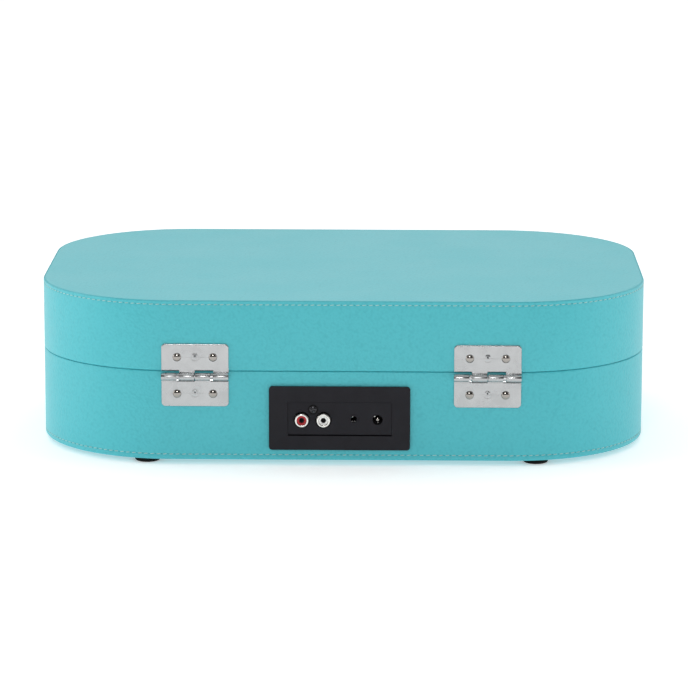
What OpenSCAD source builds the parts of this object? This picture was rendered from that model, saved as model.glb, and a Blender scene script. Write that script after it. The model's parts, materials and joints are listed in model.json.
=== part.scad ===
// Suitcase record player, lying closed on its four feet.
// +Z up, +X right as seen from the front, front at -Y, hinges and jacks at +Y.
// The origin is on the table, under the centre of the case.

/* [Case] */
// Outside width of the case
case_w = 375; // [300:1:450]
// Outside depth of the case
case_d = 260; // [220:1:320]
// Radius of the four upright corners
corner_r = 85; // [40:1:110]
// Height of the lid's top face above the table
top_z = 101.4; // [90:0.1:140]
// Height of the seam between base and lid
seam_z = 58.2; // [50:0.1:80]
// Wall of the ply boxes, cover included
wall = 6; // [4:0.5:10]
// Thickness of the leatherette cover
skin = 0.8; // [0.5:0.1:1.5]
// Height of the rubber feet
foot_h = 3; // [2:0.5:8]

/* [Record deck] */
// Centre of the spindle, across the case
spindle_x = -27; // [-60:1:0]
// Centre of the spindle, along the case
spindle_y = 15; // [-30:1:40]
// Radius of the platter
platter_r = 97; // [90:1:110]
// Height of the deck plate's upper face
deck_z = 56; // [50:0.5:57]
// Height of the mat's upper face
mat_z = 65; // [60:0.5:70]
// Tonearm pivot, across the case
arm_x = 128; // [110:1:140]
// Tonearm pivot, along the case
arm_y = 78; // [60:1:90]
// Length from the tonearm pivot to the stylus
arm_l = 180; // [160:1:200]

/* [Fittings] */
// Distance of each hinge and latch from the middle
hinge_x = 88.5; // [60:0.5:110]
// Width of one hinge
hinge_w = 40.8; // [30:0.1:60]
// Spacing of the two RCA jacks
rca_pitch = 13.2; // [12:0.1:20]
// Spacing of the handle's two brackets
handle_w = 110; // [90:1:140]

/* [Hidden] */
$fn = 48;
back_y = case_d / 2;
front_y = -case_d / 2;
seam_gap = 0.2;
base_rim_z = seam_z - seam_gap;
lid_rim_z = seam_z + seam_gap;
floor_t = 5;
floor_z = foot_h + floor_t;
deck_t = 3;
deck_under_z = deck_z - deck_t;
hinge_y = back_y + 2.6;
hinge_z = 55.05;
hinge_bottom_z = 36.4;
hinge_top_z = 75;
barrel_r = 2.35;
pin_r = 1.2;
fit = 0.05;
leaf_t = 0.9;
lug_gap = 1.6;
lug_inner_r = 1.4;
knuckle_gap = 0.4;
knuckle_w = (hinge_w - 2 * lug_gap - knuckle_gap) / 4;
rivet_r = 2.6;
rivet_h = 1.1;
hinge_rivet_x = 10.9;
hinge_rivet_z = [44.3, 66.8];
panel_x = 1;
panel_z = 29.5;
panel_w = 85.6;
panel_h = 39.2;
panel_t = 2;
jack_plate_w = 63;
jack_plate_h = 20.1;
jack_plate_x = 0.85;
jack_plate_gap = 0.1;
jack_plate_low_gap = 0.8;
jack_screw = [17, 35];
rca_x = [10.7, 10.7 + rca_pitch];
rca_z = 28.6;
rca_r = 4.15;
rca_bore_r = 3;
rca_tip_y = back_y + 4.6;
rca_flange_y = back_y - 3.4;
plate_out_y = back_y + 1.6;
jack_board_y = back_y - 16.4;
line_x = -7.7;
line_z = 29;
line_bore_r = 1.8;
dc_x = -22.1;
dc_z = 28.7;
dc_bore_r = 3.1;
foot_x = 118.5;
foot_y = back_y - 12.5;
foot_r = 7.75;
spindle_r = 3.55;
bearing_r = 4;
bearing_top_z = 64.8;
spindle_top_z = 77;
platter_under_z = 61.5;
platter_top_z = 63.5;
skirt_z = 57.5;
belt_ring_r = 72;
belt_low_z = 58;
belt_high_z = 60.6;
belt_t = 1;
motor_x = spindle_x - 59;
motor_y = spindle_y + 59;
pulley_r = 3.6;
shaft_r = 1;
motor_r = 16;
motor_top_z = 49;
motor_h = 22;
tube_z = 75;
tube_r = 3.5;
turret_r = 12;
arm_base_r = 20;
arm_base_z = deck_z + 3.5;
lift_r = 16;
lift_turn = 15;
lift_rod_r = 1.2;
lift_rod = [arm_x + lift_r * sin(lift_turn), arm_y - lift_r * cos(lift_turn)];
rest_y = -40;
clip_x = arm_x + 6.8;
clip_z = 81;
cue_x = 150;
cue_z = 63;
knob_x = 158;
knob_y = 14;
knob_r = 9.5;
function_y = -22;
speed_x = 72;
auto_x = 100;
back_row_y = 104;
light_y = -46;
adapter_x = -135;
adapter_y = 75;
adapter_r = 19.1;
adapter_z = 52;
function_throw = 8;
speed_throw = 14;
auto_throw = 6;
speakers = [[-118, -72], [82, -86]];
speaker_r = 26;
handle_y = front_y - 10;
handle_z = 42;
handle_drop = 26;
grip_r = 7;
latch_y = front_y - 3.6;
latch_z = 40;
bracket_t = 1.5;
deck_screws = [[-152, -20], [-92, 108], [40, 114], [147, 95], [168, 62], [-20, -114], [150, -84]];
screw_r = 1.2;
post_r = 7;

// ---------- shared shapes ----------

module rounded_rect(w, d, r) {
    square([w - 2 * r, d], center = true);
    square([w, d - 2 * r], center = true);
    for (x = [-1, 1], y = [-1, 1]) {
        translate([x * (w / 2 - r), y * (d / 2 - r)]) circle(r);
    }
}

module slab(w, d, r, z0, z1) {
    translate([0, 0, z0]) linear_extrude(z1 - z0) rounded_rect(w, d, r, $fn = 96);
}

// The case outline drawn in by the same amount all round
module case_slab(inset, z0, z1) {
    slab(case_w - 2 * inset, case_d - 2 * inset, corner_r - inset, z0, z1);
}

// A cylinder from y0 to y1, at x and z
module rod_y(x, z, r, y0, y1) {
    translate([x, y0, z]) rotate([-90, 0, 0]) cylinder(r = r, h = y1 - y0);
}

// A cylinder from x0 to x1, at y and z
module rod_x(y, z, r, x0, x1) {
    translate([x0, y, z]) rotate([0, 90, 0]) cylinder(r = r, h = x1 - x0);
}

// A cylinder from z0 to z1, at x and y
module rod_z(x, y, r, z0, z1) {
    translate([x, y, z0]) cylinder(r = r, h = z1 - z0);
}

module block(x0, x1, y0, y1, z0, z1) {
    translate([x0, y0, z0]) cube([x1 - x0, y1 - y0, z1 - z0]);
}

// A dome of radius r and height h, its flat face on z = 0
module dome(r, h) {
    ball_r = (r * r + h * h) / (2 * h);
    intersection() {
        translate([0, 0, h - ball_r]) sphere(ball_r);
        cylinder(r = r, h = h);
    }
}

// A domed rivet on a face square to Y, its head towards side (1 back, -1 front)
module rivet(x, y, z, side) {
    translate([x, y, z]) rotate([-90 * side, 0, 0]) difference() {
        dome(rivet_r, rivet_h, $fn = 32);
        translate([0, 0, rivet_h - 0.3]) cylinder(r = 0.6, h = 1, $fn = 16);
    }
}

// A round screw with a cross recess, standing on z = 0
module screw(head_r, head_h) {
    difference() {
        dome(head_r, head_h, $fn = 32);
        for (turn = [0, 90]) {
            rotate([0, 0, turn]) translate([-head_r * 0.55, -head_r * 0.12, head_h * 0.4])
                cube([head_r * 1.1, head_r * 0.24, head_h]);
        }
    }
}

// ---------- case ----------

// Puts its children at each foot
module at_feet() {
    for (x = [-foot_x, foot_x], y = [-foot_y, foot_y]) translate([x, y, 0]) children();
}

module foot_screw_holes() {
    at_feet() cylinder(r = screw_r, h = floor_z - 1);
}

// The opening in the back wall for the jack panel
module jack_opening() {
    block(panel_x - 38, panel_x + 38, back_y - wall - 1, back_y + 1, panel_z - 15.5, panel_z + 15.5);
}

module base_box() {
    color("burlywood") difference() {
        case_slab(skin, foot_h + skin, base_rim_z);
        case_slab(wall, floor_z, base_rim_z + 1);
        jack_opening();
        foot_screw_holes();
    }
}

module base_cover() {
    color("turquoise") difference() {
        case_slab(0, foot_h, base_rim_z);
        case_slab(skin, foot_h + skin, base_rim_z + 1);
        jack_opening();
        foot_screw_holes();
    }
}

module lid_box() {
    color("burlywood") difference() {
        case_slab(skin, lid_rim_z, top_z - skin);
        case_slab(wall, lid_rim_z - 1, top_z - floor_t);
    }
}

module lid_cover() {
    color("turquoise") difference() {
        case_slab(0, lid_rim_z, top_z);
        case_slab(skin, lid_rim_z - 1, top_z - skin);
    }
}

module lid_lining() {
    color("dimgray") case_slab(wall + 0.4, top_z - floor_t - skin, top_z - floor_t);
}

module feet() {
    color("black") at_feet() difference() {
        union() {
            cylinder(r1 = foot_r - 1, r2 = foot_r, h = 0.8);
            translate([0, 0, 0.8]) cylinder(r = foot_r, h = foot_h - 0.8);
        }
        translate([0, 0, -1]) cylinder(r = 3, h = 2.8);
        cylinder(r = screw_r, h = foot_h + 1);
    }
}

module screws() {
    color("silver") {
        at_feet() {
            translate([0, 0, 1.8]) cylinder(r = screw_r, h = floor_z - 2.8);
            translate([0, 0, 1.8]) rotate([180, 0, 0]) screw(2.6, 1.1);
        }
        for (spot = deck_screws) {
            rod_z(spot[0], spot[1], screw_r, deck_z - 12, deck_z);
            translate([spot[0], spot[1], deck_z]) screw(2.8, 1.3);
        }
        rod_y(jack_screw[0], jack_screw[1], screw_r, back_y - 3, plate_out_y);
        translate([jack_screw[0], plate_out_y, jack_screw[1]]) rotate([-90, 0, 0]) screw(3, 1.3);
    }
}

module deck_blocks() {
    color("tan") for (spot = deck_screws) difference() {
        rod_z(spot[0], spot[1], post_r, floor_z, deck_under_z);
        rod_z(spot[0], spot[1], screw_r, deck_z - 12, deck_z);
    }
}

// ---------- hinges ----------

// Puts its children at both hinges
module at_hinges() {
    for (x = [-hinge_x, hinge_x]) translate([x, 0, 0]) children();
}

// Left end of each of the four knuckles: lid, base, lid, base
function knuckle_x(i) = -hinge_w / 2 + i * knuckle_w + (i > 0 ? lug_gap : 0)
    + (i > 1 ? knuckle_gap : 0) + (i > 2 ? lug_gap : 0);

// A leaf drawn flat, its rounded corners at the bottom
module leaf_outline(h) {
    r = 2.5;
    translate([-hinge_w / 2, r]) square([hinge_w, h - r]);
    translate([-hinge_w / 2 + r, 0]) square([hinge_w - 2 * r, h]);
    for (x = [-1, 1]) translate([x * (hinge_w / 2 - r), r]) circle(r);
}

// A third of a ring round the pin that stops the lid just past its open angle
module stop_lug(x, start) {
    translate([x, hinge_y, hinge_z]) rotate([90, 0, 90]) rotate([0, 0, start])
        rotate_extrude(angle = 129) translate([lug_inner_r, 0])
            square([barrel_r - 0.1 - lug_inner_r, lug_gap - 0.2]);
}

module leaf_rivet_holes(z) {
    for (x = [-hinge_rivet_x, hinge_rivet_x]) rod_y(x, z, 1.3, back_y - 1, back_y + 3);
}

module hinge_base_leaves() {
    color("silver") at_hinges() difference() {
        union() {
            translate([0, back_y + leaf_t, hinge_bottom_z]) rotate([90, 0, 0])
                linear_extrude(leaf_t) leaf_outline(hinge_z - barrel_r - 0.4 - hinge_bottom_z);
            for (i = [1, 3]) {
                rod_x(hinge_y, hinge_z, barrel_r, knuckle_x(i), knuckle_x(i) + knuckle_w);
                block(knuckle_x(i), knuckle_x(i) + knuckle_w, back_y, back_y + leaf_t,
                    hinge_z - barrel_r - 1, hinge_z);
                stop_lug(knuckle_x(i) - lug_gap + 0.3, 160);
            }
        }
        for (i = [1, 3]) rod_x(hinge_y, hinge_z, pin_r, knuckle_x(i) - 0.1, knuckle_x(i) + knuckle_w + 1);
        leaf_rivet_holes(hinge_rivet_z[0]);
    }
}

module hinge_lid_leaves() {
    stand_off = 0.55;
    color("silver") at_hinges() difference() {
        union() {
            translate([0, back_y, hinge_top_z]) rotate([-90, 0, 0])
                linear_extrude(leaf_t) leaf_outline(hinge_top_z - lid_rim_z);
            for (i = [0, 2]) {
                rod_x(hinge_y, hinge_z, barrel_r, knuckle_x(i), knuckle_x(i) + knuckle_w);
                block(knuckle_x(i), knuckle_x(i) + knuckle_w, back_y + stand_off,
                    back_y + stand_off + leaf_t, hinge_z, lid_rim_z + 2);
                stop_lug(knuckle_x(i) + knuckle_w - 0.1, 30);
            }
        }
        for (i = [0, 2]) {
            rod_x(hinge_y, hinge_z, pin_r + fit, knuckle_x(i) - 1, knuckle_x(i) + knuckle_w + 0.1);
        }
        leaf_rivet_holes(hinge_rivet_z[1]);
    }
}

module hinge_pins() {
    color("gray") at_hinges() rod_x(hinge_y, hinge_z, pin_r, -hinge_w / 2 + 0.2, hinge_w / 2 - 0.2);
}

module hinge_rivets(z) {
    color("gainsboro") at_hinges() for (x = [-hinge_rivet_x, hinge_rivet_x]) {
        rod_y(x, z, 1.3, back_y, back_y + leaf_t);
        rivet(x, back_y + leaf_t, z, 1);
    }
}

module base_rivets() {
    hinge_rivets(hinge_rivet_z[0]);
    color("gainsboro") {
        for (side = [-1, 1], x = [-7.5, 7.5]) {
            rivet(side * hinge_x + x, front_y - 1, latch_z + 11, -1);
        }
        for (side = [-1, 1], z = [-7, 7]) {
            rivet(side * handle_w / 2, front_y - bracket_t, handle_z + z, -1);
        }
    }
}

module lid_rivets() {
    hinge_rivets(hinge_rivet_z[1]);
    color("gainsboro") for (side = [-1, 1], x = [-7, 7]) {
        rivet(side * hinge_x + x, front_y - 1, 70, -1);
    }
}

// ---------- jack panel ----------

// A rounded plate square to Y, centred on x and z
module face_plate(x, z, w, h, r, y0, y1) {
    translate([x, y1, z]) rotate([90, 0, 0]) linear_extrude(y1 - y0) rounded_rect(w, h, r);
}

module jack_bezel() {
    color([0.16, 0.15, 0.17]) difference() {
        union() {
            face_plate(panel_x, panel_z, panel_w, panel_h, 2, back_y, back_y + panel_t);
            block(panel_x - 37, panel_x + 37, back_y - 5, back_y, panel_z - 15, panel_z + 15);
        }
        face_plate(jack_plate_x, panel_z + (jack_plate_gap - jack_plate_low_gap) / 2,
            jack_plate_w + 2 * jack_plate_gap, jack_plate_h + jack_plate_gap + jack_plate_low_gap, 0.6,
            back_y - 6, back_y + 3);
        face_plate(jack_plate_x, panel_z, jack_plate_w + 5, jack_plate_h + 5, 0.6, back_y - 6, back_y - 1);
    }
}

module jack_plate() {
    color([0.18, 0.17, 0.19]) difference() {
        union() {
            face_plate(jack_plate_x, panel_z, jack_plate_w, jack_plate_h, 0.5, back_y - 1, plate_out_y);
            face_plate(jack_plate_x, panel_z, jack_plate_w + 4.6, jack_plate_h + 4.6, 0.5,
                back_y - 3, back_y - 1);
        }
        for (x = rca_x) rod_y(x, rca_z, 5, back_y - 4, back_y + 4);
        rod_y(line_x, line_z, 3.1, back_y - 4, back_y + 4);
        rod_y(dc_x, dc_z, dc_bore_r, back_y - 4, back_y + 4);
        rod_y(jack_screw[0], jack_screw[1], screw_r, back_y - 4, back_y + 4);
    }
}

module rca_shells() {
    color("white") for (x = rca_x) {
        difference() {
            rod_y(x, rca_z, rca_r, rca_flange_y - 1, rca_tip_y);
            rod_y(x, rca_z, rca_bore_r, rca_flange_y, rca_tip_y + 1);
        }
        rod_y(x, rca_z, 5.5, rca_flange_y - 4, rca_flange_y);
        block(x - 5.5, x + 5.5, jack_board_y, rca_flange_y - 4, rca_z - 5.5, rca_z + 5.5);
    }
}

module rca_core(x) {
    difference() {
        rod_y(x, rca_z, rca_bore_r, rca_flange_y, rca_tip_y - 0.7);
        rod_y(x, rca_z, 1.6, rca_flange_y + 1, rca_tip_y);
    }
}

module rca_core_red() {
    color("red") rca_core(rca_x[1]);
}

module rca_core_white() {
    color("white") rca_core(rca_x[0]);
}

module line_jack() {
    color("black") difference() {
        union() {
            rod_y(line_x, line_z, 3.1, back_y - 6, plate_out_y + 0.2);
            block(line_x - 5, line_x + 5, jack_board_y, back_y - 4, line_z - 5, line_z + 5);
        }
        rod_y(line_x, line_z, line_bore_r, back_y - 14, back_y + 4);
    }
}

module dc_jack() {
    color("black") difference() {
        block(dc_x - 5.5, dc_x + 5.5, jack_board_y, back_y - 3, dc_z - 5.5, dc_z + 5.5);
        rod_y(dc_x, dc_z, dc_bore_r, back_y - 12, back_y);
    }
}

module dc_pin() {
    color("silver") rod_y(dc_x, dc_z, 1, back_y - 12, back_y + 0.6);
}

module jack_board() {
    color("darkgreen") block(-30, 30, jack_board_y - 1.6, jack_board_y, 12, 44);
}

// ---------- latches and handle ----------

// Puts its children at both latches
module at_latches() {
    for (x = [-hinge_x, hinge_x]) translate([x, 0, 0]) children();
}

module latch_plates() {
    color("silver") at_latches() {
        block(-13, 13, front_y - 1, front_y, latch_z - 6, latch_z + 14);
        for (x = [-11, 9]) {
            rod_x(latch_y, latch_z, 2.6, x, x + 2);
            block(x, x + 2, latch_y, front_y - 0.5, latch_z - 2.6, latch_z + 2.6);
        }
        rod_x(latch_y, latch_z, pin_r, -10, 10);
    }
}

module latch_lever(x) {
    inner_y = front_y - 2.7;
    color("gainsboro") translate([x, 0, 0]) difference() {
        union() {
            rod_x(latch_y, latch_z, 2.2, -8.6, 8.6);
            block(-8.6, 8.6, inner_y - 1.2, inner_y, latch_z, latch_z + 26);
            block(-6, 6, inner_y - 0.6, inner_y + 1, latch_z + 23.6, latch_z + 25);
            block(-8.6, 8.6, inner_y - 5, inner_y, latch_z + 25, latch_z + 26.4);
        }
        rod_x(latch_y, latch_z, pin_r + fit, -9, 9);
    }
}

module latch_lever_left() {
    latch_lever(-hinge_x);
}

module latch_lever_right() {
    latch_lever(hinge_x);
}

module strike_plates() {
    color("silver") at_latches() {
        block(-11, 11, front_y - 1, front_y, seam_z + 1.3, seam_z + 16);
        block(-7, 7, front_y - 2.5, front_y - 0.5, latch_z + 21.6, latch_z + 23.3);
    }
}

// Puts its children at both handle pivots
module at_handle_pivots() {
    for (side = [-1, 1]) translate([side * handle_w / 2, 0, 0]) children();
}

module handle_brackets() {
    color("silver") at_handle_pivots() {
        block(-9, 9, front_y - bracket_t, front_y, handle_z - 10, handle_z + 10);
        for (x = [-8, 5]) {
            rod_x(handle_y, handle_z, 4.5, x, x + 3);
            block(x, x + 3, handle_y, front_y - 1, handle_z - 4.5, handle_z + 4.5);
        }
        rod_x(handle_y, handle_z, 2, -7, 7);
    }
}

module handle_ends() {
    color("silver") for (side = [-1, 1]) translate([side * handle_w / 2, 0, 0]) difference() {
        union() {
            rod_x(handle_y, handle_z, 4.8, -4.5, 4.5);
            block(-3.5, 3.5, handle_y - 2.5, handle_y + 2.5, handle_z - handle_drop, handle_z);
            rod_x(handle_y, handle_z - handle_drop, grip_r + 0.4, -6, 6);
        }
        rod_x(handle_y, handle_z, 2 + fit, -5, 5);
    }
}

module handle_grip() {
    reach = handle_w / 2 - 6;
    color("turquoise") rod_x(handle_y, handle_z - handle_drop, grip_r, -reach, reach);
}

// ---------- deck ----------

// A straight slot through the deck plate
module deck_slot(x, y, along_x, along_y) {
    block(x - along_x / 2, x + along_x / 2, y - along_y / 2, y + along_y / 2, deck_under_z - 1, deck_z + 1);
}

// Parallel slots that together fill a circle
module grille_slots(spot) {
    for (i = [-4:4]) {
        reach = sqrt(speaker_r * speaker_r - pow(i * 5, 2)) - 3;
        translate([spot[0], spot[1], 0])
            block(-reach, reach, i * 5 - 1.2, i * 5 + 1.2, deck_under_z - 1, deck_z + 1);
    }
}

module deck_plate() {
    well_r = adapter_r + 0.9;
    color([0.13, 0.13, 0.14]) difference() {
        union() {
            case_slab(wall + 0.3, deck_under_z, deck_z);
            rod_z(adapter_x, adapter_y, well_r + 2, adapter_z - 2, deck_under_z + 1);
        }
        rod_z(adapter_x, adapter_y, well_r, adapter_z, deck_z + 1);
        rod_z(spindle_x, spindle_y, bearing_r, deck_under_z - 1, deck_z + 1);
        rod_z(motor_x, motor_y, 6, deck_under_z - 1, deck_z + 1);
        rod_z(knob_x, knob_y, 3.5, deck_under_z - 1, deck_z + 1);
        rod_z(knob_x, light_y, 1.5, deck_under_z - 1, deck_z + 1);
        rod_z(lift_rod[0], lift_rod[1], lift_rod_r + fit, deck_under_z - 1, deck_z + 1);
        deck_slot(knob_x, function_y, 3.6, function_throw + 3.6);
        deck_slot(speed_x, back_row_y, speed_throw + 3.6, 3.6);
        deck_slot(auto_x, back_row_y, auto_throw + 3.6, 3.6);
        for (spot = speakers) grille_slots(spot);
        for (spot = deck_screws) rod_z(spot[0], spot[1], screw_r, deck_under_z - 1, deck_z + 1);
    }
}

module power_light() {
    color("red") {
        rod_z(knob_x, light_y, 1.5, deck_under_z - 2, deck_z);
        translate([knob_x, light_y, deck_z]) dome(1.5, 0.9);
    }
}

module spindle() {
    color("silver") translate([spindle_x, spindle_y, 0]) {
        rod_z(0, 0, bearing_r, deck_under_z - 9, bearing_top_z);
        rod_z(0, 0, spindle_r, bearing_top_z - 1, spindle_top_z - spindle_r);
        translate([0, 0, spindle_top_z - spindle_r]) sphere(spindle_r);
        rod_z(0, 0, 10, deck_under_z - 3, deck_under_z);
        rod_z(0, 0, 6.5, deck_z, deck_z + 0.5);
    }
}

module retaining_clip() {
    color("gray") translate([spindle_x, spindle_y, platter_top_z + 0.5]) difference() {
        cylinder(r = 6.5, h = 0.7);
        translate([0, 0, -1]) cylinder(r = bearing_r, h = 3);
        translate([0, -1.2, -1]) cube([10, 2.4, 3]);
    }
}

module tube(outer_r, inner_r, z0, z1) {
    difference() {
        rod_z(0, 0, outer_r, z0, z1);
        rod_z(0, 0, inner_r, z0 - 1, z1 + 1);
    }
}

module platter() {
    bush_r = 6;
    color("silver") translate([spindle_x, spindle_y, 0]) {
        tube(platter_r, bush_r, platter_under_z, platter_top_z, $fn = 128);
        tube(platter_r, platter_r - 2.5, skirt_z, platter_under_z, $fn = 128);
        tube(belt_ring_r, belt_ring_r - 2.5, skirt_z, platter_under_z, $fn = 96);
        tube(10, bush_r, skirt_z, platter_under_z);
        for (turn = [0:60:300]) {
            rotate([0, 0, turn]) block(9, belt_ring_r - 2, -1, 1, platter_under_z - 2, platter_under_z);
        }
    }
}

module platter_bush() {
    color("goldenrod") translate([spindle_x, spindle_y, 0])
        tube(6, bearing_r + fit, deck_z + 0.6, platter_top_z + 0.4);
}

module platter_mat() {
    color([0.1, 0.1, 0.1]) translate([spindle_x, spindle_y, 0])
        tube(platter_r - 5, 9, platter_top_z, mat_z, $fn = 128);
}

// The line round the platter's ring and the pulley, drawn out by grow, as short straight steps
function belt_line(grow, reach, lean) = concat(
    [for (i = [0:120]) let (a = lean + i * (360 - 2 * lean) / 120)
        (belt_ring_r + grow) * [cos(a), sin(a)]],
    [for (i = [0:24]) let (a = -lean + i * 2 * lean / 24)
        [reach, 0] + (pulley_r + grow) * [cos(a), sin(a)]]
);

module drive_belt() {
    reach = norm([motor_x - spindle_x, motor_y - spindle_y]);
    turn = atan2(motor_y - spindle_y, motor_x - spindle_x);
    lean = acos((belt_ring_r - pulley_r) / reach);
    color("black") translate([spindle_x, spindle_y, belt_low_z]) rotate([0, 0, turn])
        linear_extrude(belt_high_z - belt_low_z) difference() {
            polygon(belt_line(fit + 0.03 + belt_t, reach, lean));
            polygon(belt_line(fit + 0.03, reach, lean));
        }
}

module motor() {
    color("gray") translate([motor_x, motor_y, 0]) difference() {
        union() {
            rod_z(0, 0, motor_r, motor_top_z - motor_h, motor_top_z);
            rod_z(0, 0, 4, motor_top_z, motor_top_z + 1.6);
        }
        rod_z(0, 0, shaft_r + fit, motor_top_z - 12, motor_top_z + 3);
    }
}

module motor_bracket() {
    top = motor_top_z + 1.2;
    color("dimgray") translate([motor_x, motor_y, 0]) {
        difference() {
            block(-24, 24, -18, 18, motor_top_z, top);
            rod_z(0, 0, 4, motor_top_z - 1, top + 1);
        }
        for (x = [-19, 19]) rod_z(x, 0, 3.5, top, deck_under_z);
    }
}

module motor_pulley() {
    color("goldenrod") translate([motor_x, motor_y, 0]) {
        rod_z(0, 0, shaft_r, motor_top_z - 8, belt_high_z + 0.4);
        rod_z(0, 0, pulley_r, belt_low_z - 0.7, belt_high_z + 0.6);
        rod_z(0, 0, pulley_r + 1, belt_low_z - 0.7, belt_low_z - 0.2);
        rod_z(0, 0, pulley_r + 1, belt_high_z + 0.2, belt_high_z + 0.6);
    }
}

// ---------- tonearm ----------

// Moves its children to the tonearm pivot
module at_arm() {
    translate([arm_x, arm_y, 0]) children();
}

module tonearm_base() {
    color([0.12, 0.12, 0.13]) difference() {
        union() {
            at_arm() {
                rod_z(0, 0, arm_base_r, deck_z, arm_base_z);
                rod_z(0, 0, 3, arm_base_z, arm_base_z + 6);
            }
            block(cue_x - 9, cue_x - 1, lift_rod[1] - 5, lift_rod[1] + 5, deck_z, cue_z + 4);
        }
        rod_z(lift_rod[0], lift_rod[1], lift_rod_r + fit, deck_z - 1, cue_z);
        rod_x(lift_rod[1], cue_z, 2 + fit, cue_x - 10, cue_x);
    }
}

module arm_yoke() {
    turret_z = arm_base_z + 0.5;
    color([0.2, 0.2, 0.21]) at_arm() {
        difference() {
            rod_z(0, 0, turret_r, turret_z, turret_z + 7);
            rod_z(0, 0, 3 + fit, turret_z - 1, turret_z + 6);
        }
        for (x = [-10.5, 8]) {
            block(x, x + 2.5, -5, 5, turret_z + 6, tube_z);
            rod_x(0, tube_z, 5, x, x + 2.5);
        }
        rod_x(0, tube_z, pin_r, -10, 10);
    }
}

module arm_tube() {
    head_y = -arm_l + 28;
    color([0.15, 0.15, 0.16]) at_arm() difference() {
        union() {
            block(-7.6, 7.6, -7, 7, tube_z - 5, tube_z + 4.5);
            rod_y(0, tube_z, tube_r, head_y, 0);
            rod_y(0, tube_z, 6, 6, 24);
        }
        rod_x(0, tube_z, pin_r + fit, -9, 9);
        rod_y(0, tube_z, tube_r - 0.8, head_y - 1, -10);
    }
}

module headshell() {
    front = -arm_l - 10;
    back = -arm_l + 28;
    color([0.15, 0.15, 0.16]) at_arm() difference() {
        union() {
            block(-8, 8, front, back, tube_z - 2, tube_z + 3);
            block(7, 17, front + 6, front + 10, tube_z + 1.5, tube_z + 2.5);
        }
        block(-6.8, 6.8, front + 1.2, back - 4, tube_z - 3, tube_z + 1.8);
    }
}

module cartridge() {
    color("firebrick") at_arm() {
        block(-6.4, 6.4, -arm_l - 6, -arm_l + 18, mat_z + 4.6, tube_z + 1.8);
    }
}

module stylus() {
    tip_z = mat_z + 2;
    color("firebrick") at_arm() {
        block(-3, 3, -arm_l - 4, -arm_l + 10, tip_z + 1.2, mat_z + 4.6);
        translate([0, -arm_l, tip_z]) cylinder(r1 = 0.15, r2 = 0.7, h = 1.2, $fn = 16);
    }
}

module lift_platform() {
    top = tube_z - tube_r - 0.3;
    color([0.2, 0.2, 0.21]) {
        translate([arm_x, arm_y, top - 2]) rotate([0, 0, 212])
            rotate_extrude(angle = 80, $fn = 96) translate([lift_r - 1.5, 0]) square([3, 2]);
        rod_z(lift_rod[0], lift_rod[1], lift_rod_r, deck_z - 6, top - 1);
    }
}

module cue_lever() {
    color([0.2, 0.2, 0.21]) {
        rod_x(lift_rod[1], cue_z, 2, cue_x - 8.8, cue_x + 3);
        rod_x(lift_rod[1], cue_z, 4, cue_x - 0.6, cue_x + 3);
        block(cue_x, cue_x + 3, lift_rod[1] - 22, lift_rod[1], cue_z - 1.2, cue_z + 1.2);
        translate([cue_x + 1.5, lift_rod[1] - 22, cue_z]) sphere(2.6);
    }
}

module arm_rest() {
    lip_x = arm_x + tube_r + 0.6;
    color([0.12, 0.12, 0.13]) {
        difference() {
            union() {
                rod_z(arm_x, rest_y, 6, deck_z, deck_z + 2);
                rod_z(arm_x, rest_y, 3, deck_z, tube_z - 5);
                block(arm_x - 5, clip_x + 2, rest_y - 4, rest_y + 4, tube_z - 6, tube_z - tube_r - 0.3);
                block(lip_x, clip_x + 2, rest_y - 4, rest_y + 4, tube_z - 6, clip_z);
                rod_y(clip_x, clip_z, 2.2, rest_y - 4, rest_y + 4);
            }
            block(arm_x, clip_x + 3, rest_y - 2, rest_y + 2, clip_z - 2.6, clip_z + 4);
        }
        rod_y(clip_x, clip_z, 0.9, rest_y - 3, rest_y + 3);
    }
}

module rest_clip() {
    color([0.25, 0.25, 0.26]) difference() {
        union() {
            rod_y(clip_x, clip_z, 2, rest_y - 1.7, rest_y + 1.7);
            block(clip_x - 1, clip_x + 1, rest_y - 1.7, rest_y + 1.7, clip_z, clip_z + 11);
        }
        rod_y(clip_x, clip_z, 0.9 + fit, rest_y - 3, rest_y + 3);
    }
}

// ---------- controls ----------

module volume_knob() {
    color([0.2, 0.2, 0.21]) translate([knob_x, knob_y, 0]) {
        rod_z(0, 0, 3, deck_z - 10, deck_z + 2);
        difference() {
            union() {
                rod_z(0, 0, knob_r, deck_z + 0.8, deck_z + 4);
                rod_z(0, 0, knob_r - 1.2, deck_z + 3, deck_z + 10);
            }
            block(-0.6, 0.6, 2, knob_r + 1, deck_z + 9.2, deck_z + 11);
        }
    }
}

// A slider's cap on its stem
module slider(x, y, cap_x, cap_y) {
    color([0.25, 0.25, 0.26]) {
        block(x - 1.5, x + 1.5, y - 1.5, y + 1.5, deck_z - 4, deck_z + 1);
        block(x - cap_x / 2, x + cap_x / 2, y - cap_y / 2, y + cap_y / 2, deck_z + 0.3, deck_z + 2);
        block(x - cap_x / 4, x + cap_x / 4, y - cap_y / 4, y + cap_y / 4, deck_z + 1, deck_z + 4);
    }
}

module function_slider() {
    slider(knob_x, function_y - function_throw / 2, 9, 7);
}

module speed_slider() {
    slider(speed_x - speed_throw / 2, back_row_y, 7, 8);
}

module auto_stop_slider() {
    slider(auto_x - auto_throw / 2, back_row_y, 7, 8);
}

// A slide switch under the deck, hollow where the stem travels
module slide_switch(x, y, along_x, along_y) {
    difference() {
        block(x - along_x / 2 - 4, x + along_x / 2 + 4, y - along_y / 2 - 4, y + along_y / 2 + 4,
            deck_under_z - 7, deck_under_z);
        block(x - along_x / 2, x + along_x / 2, y - along_y / 2, y + along_y / 2,
            deck_under_z - 2, deck_under_z + 1);
    }
}

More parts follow.
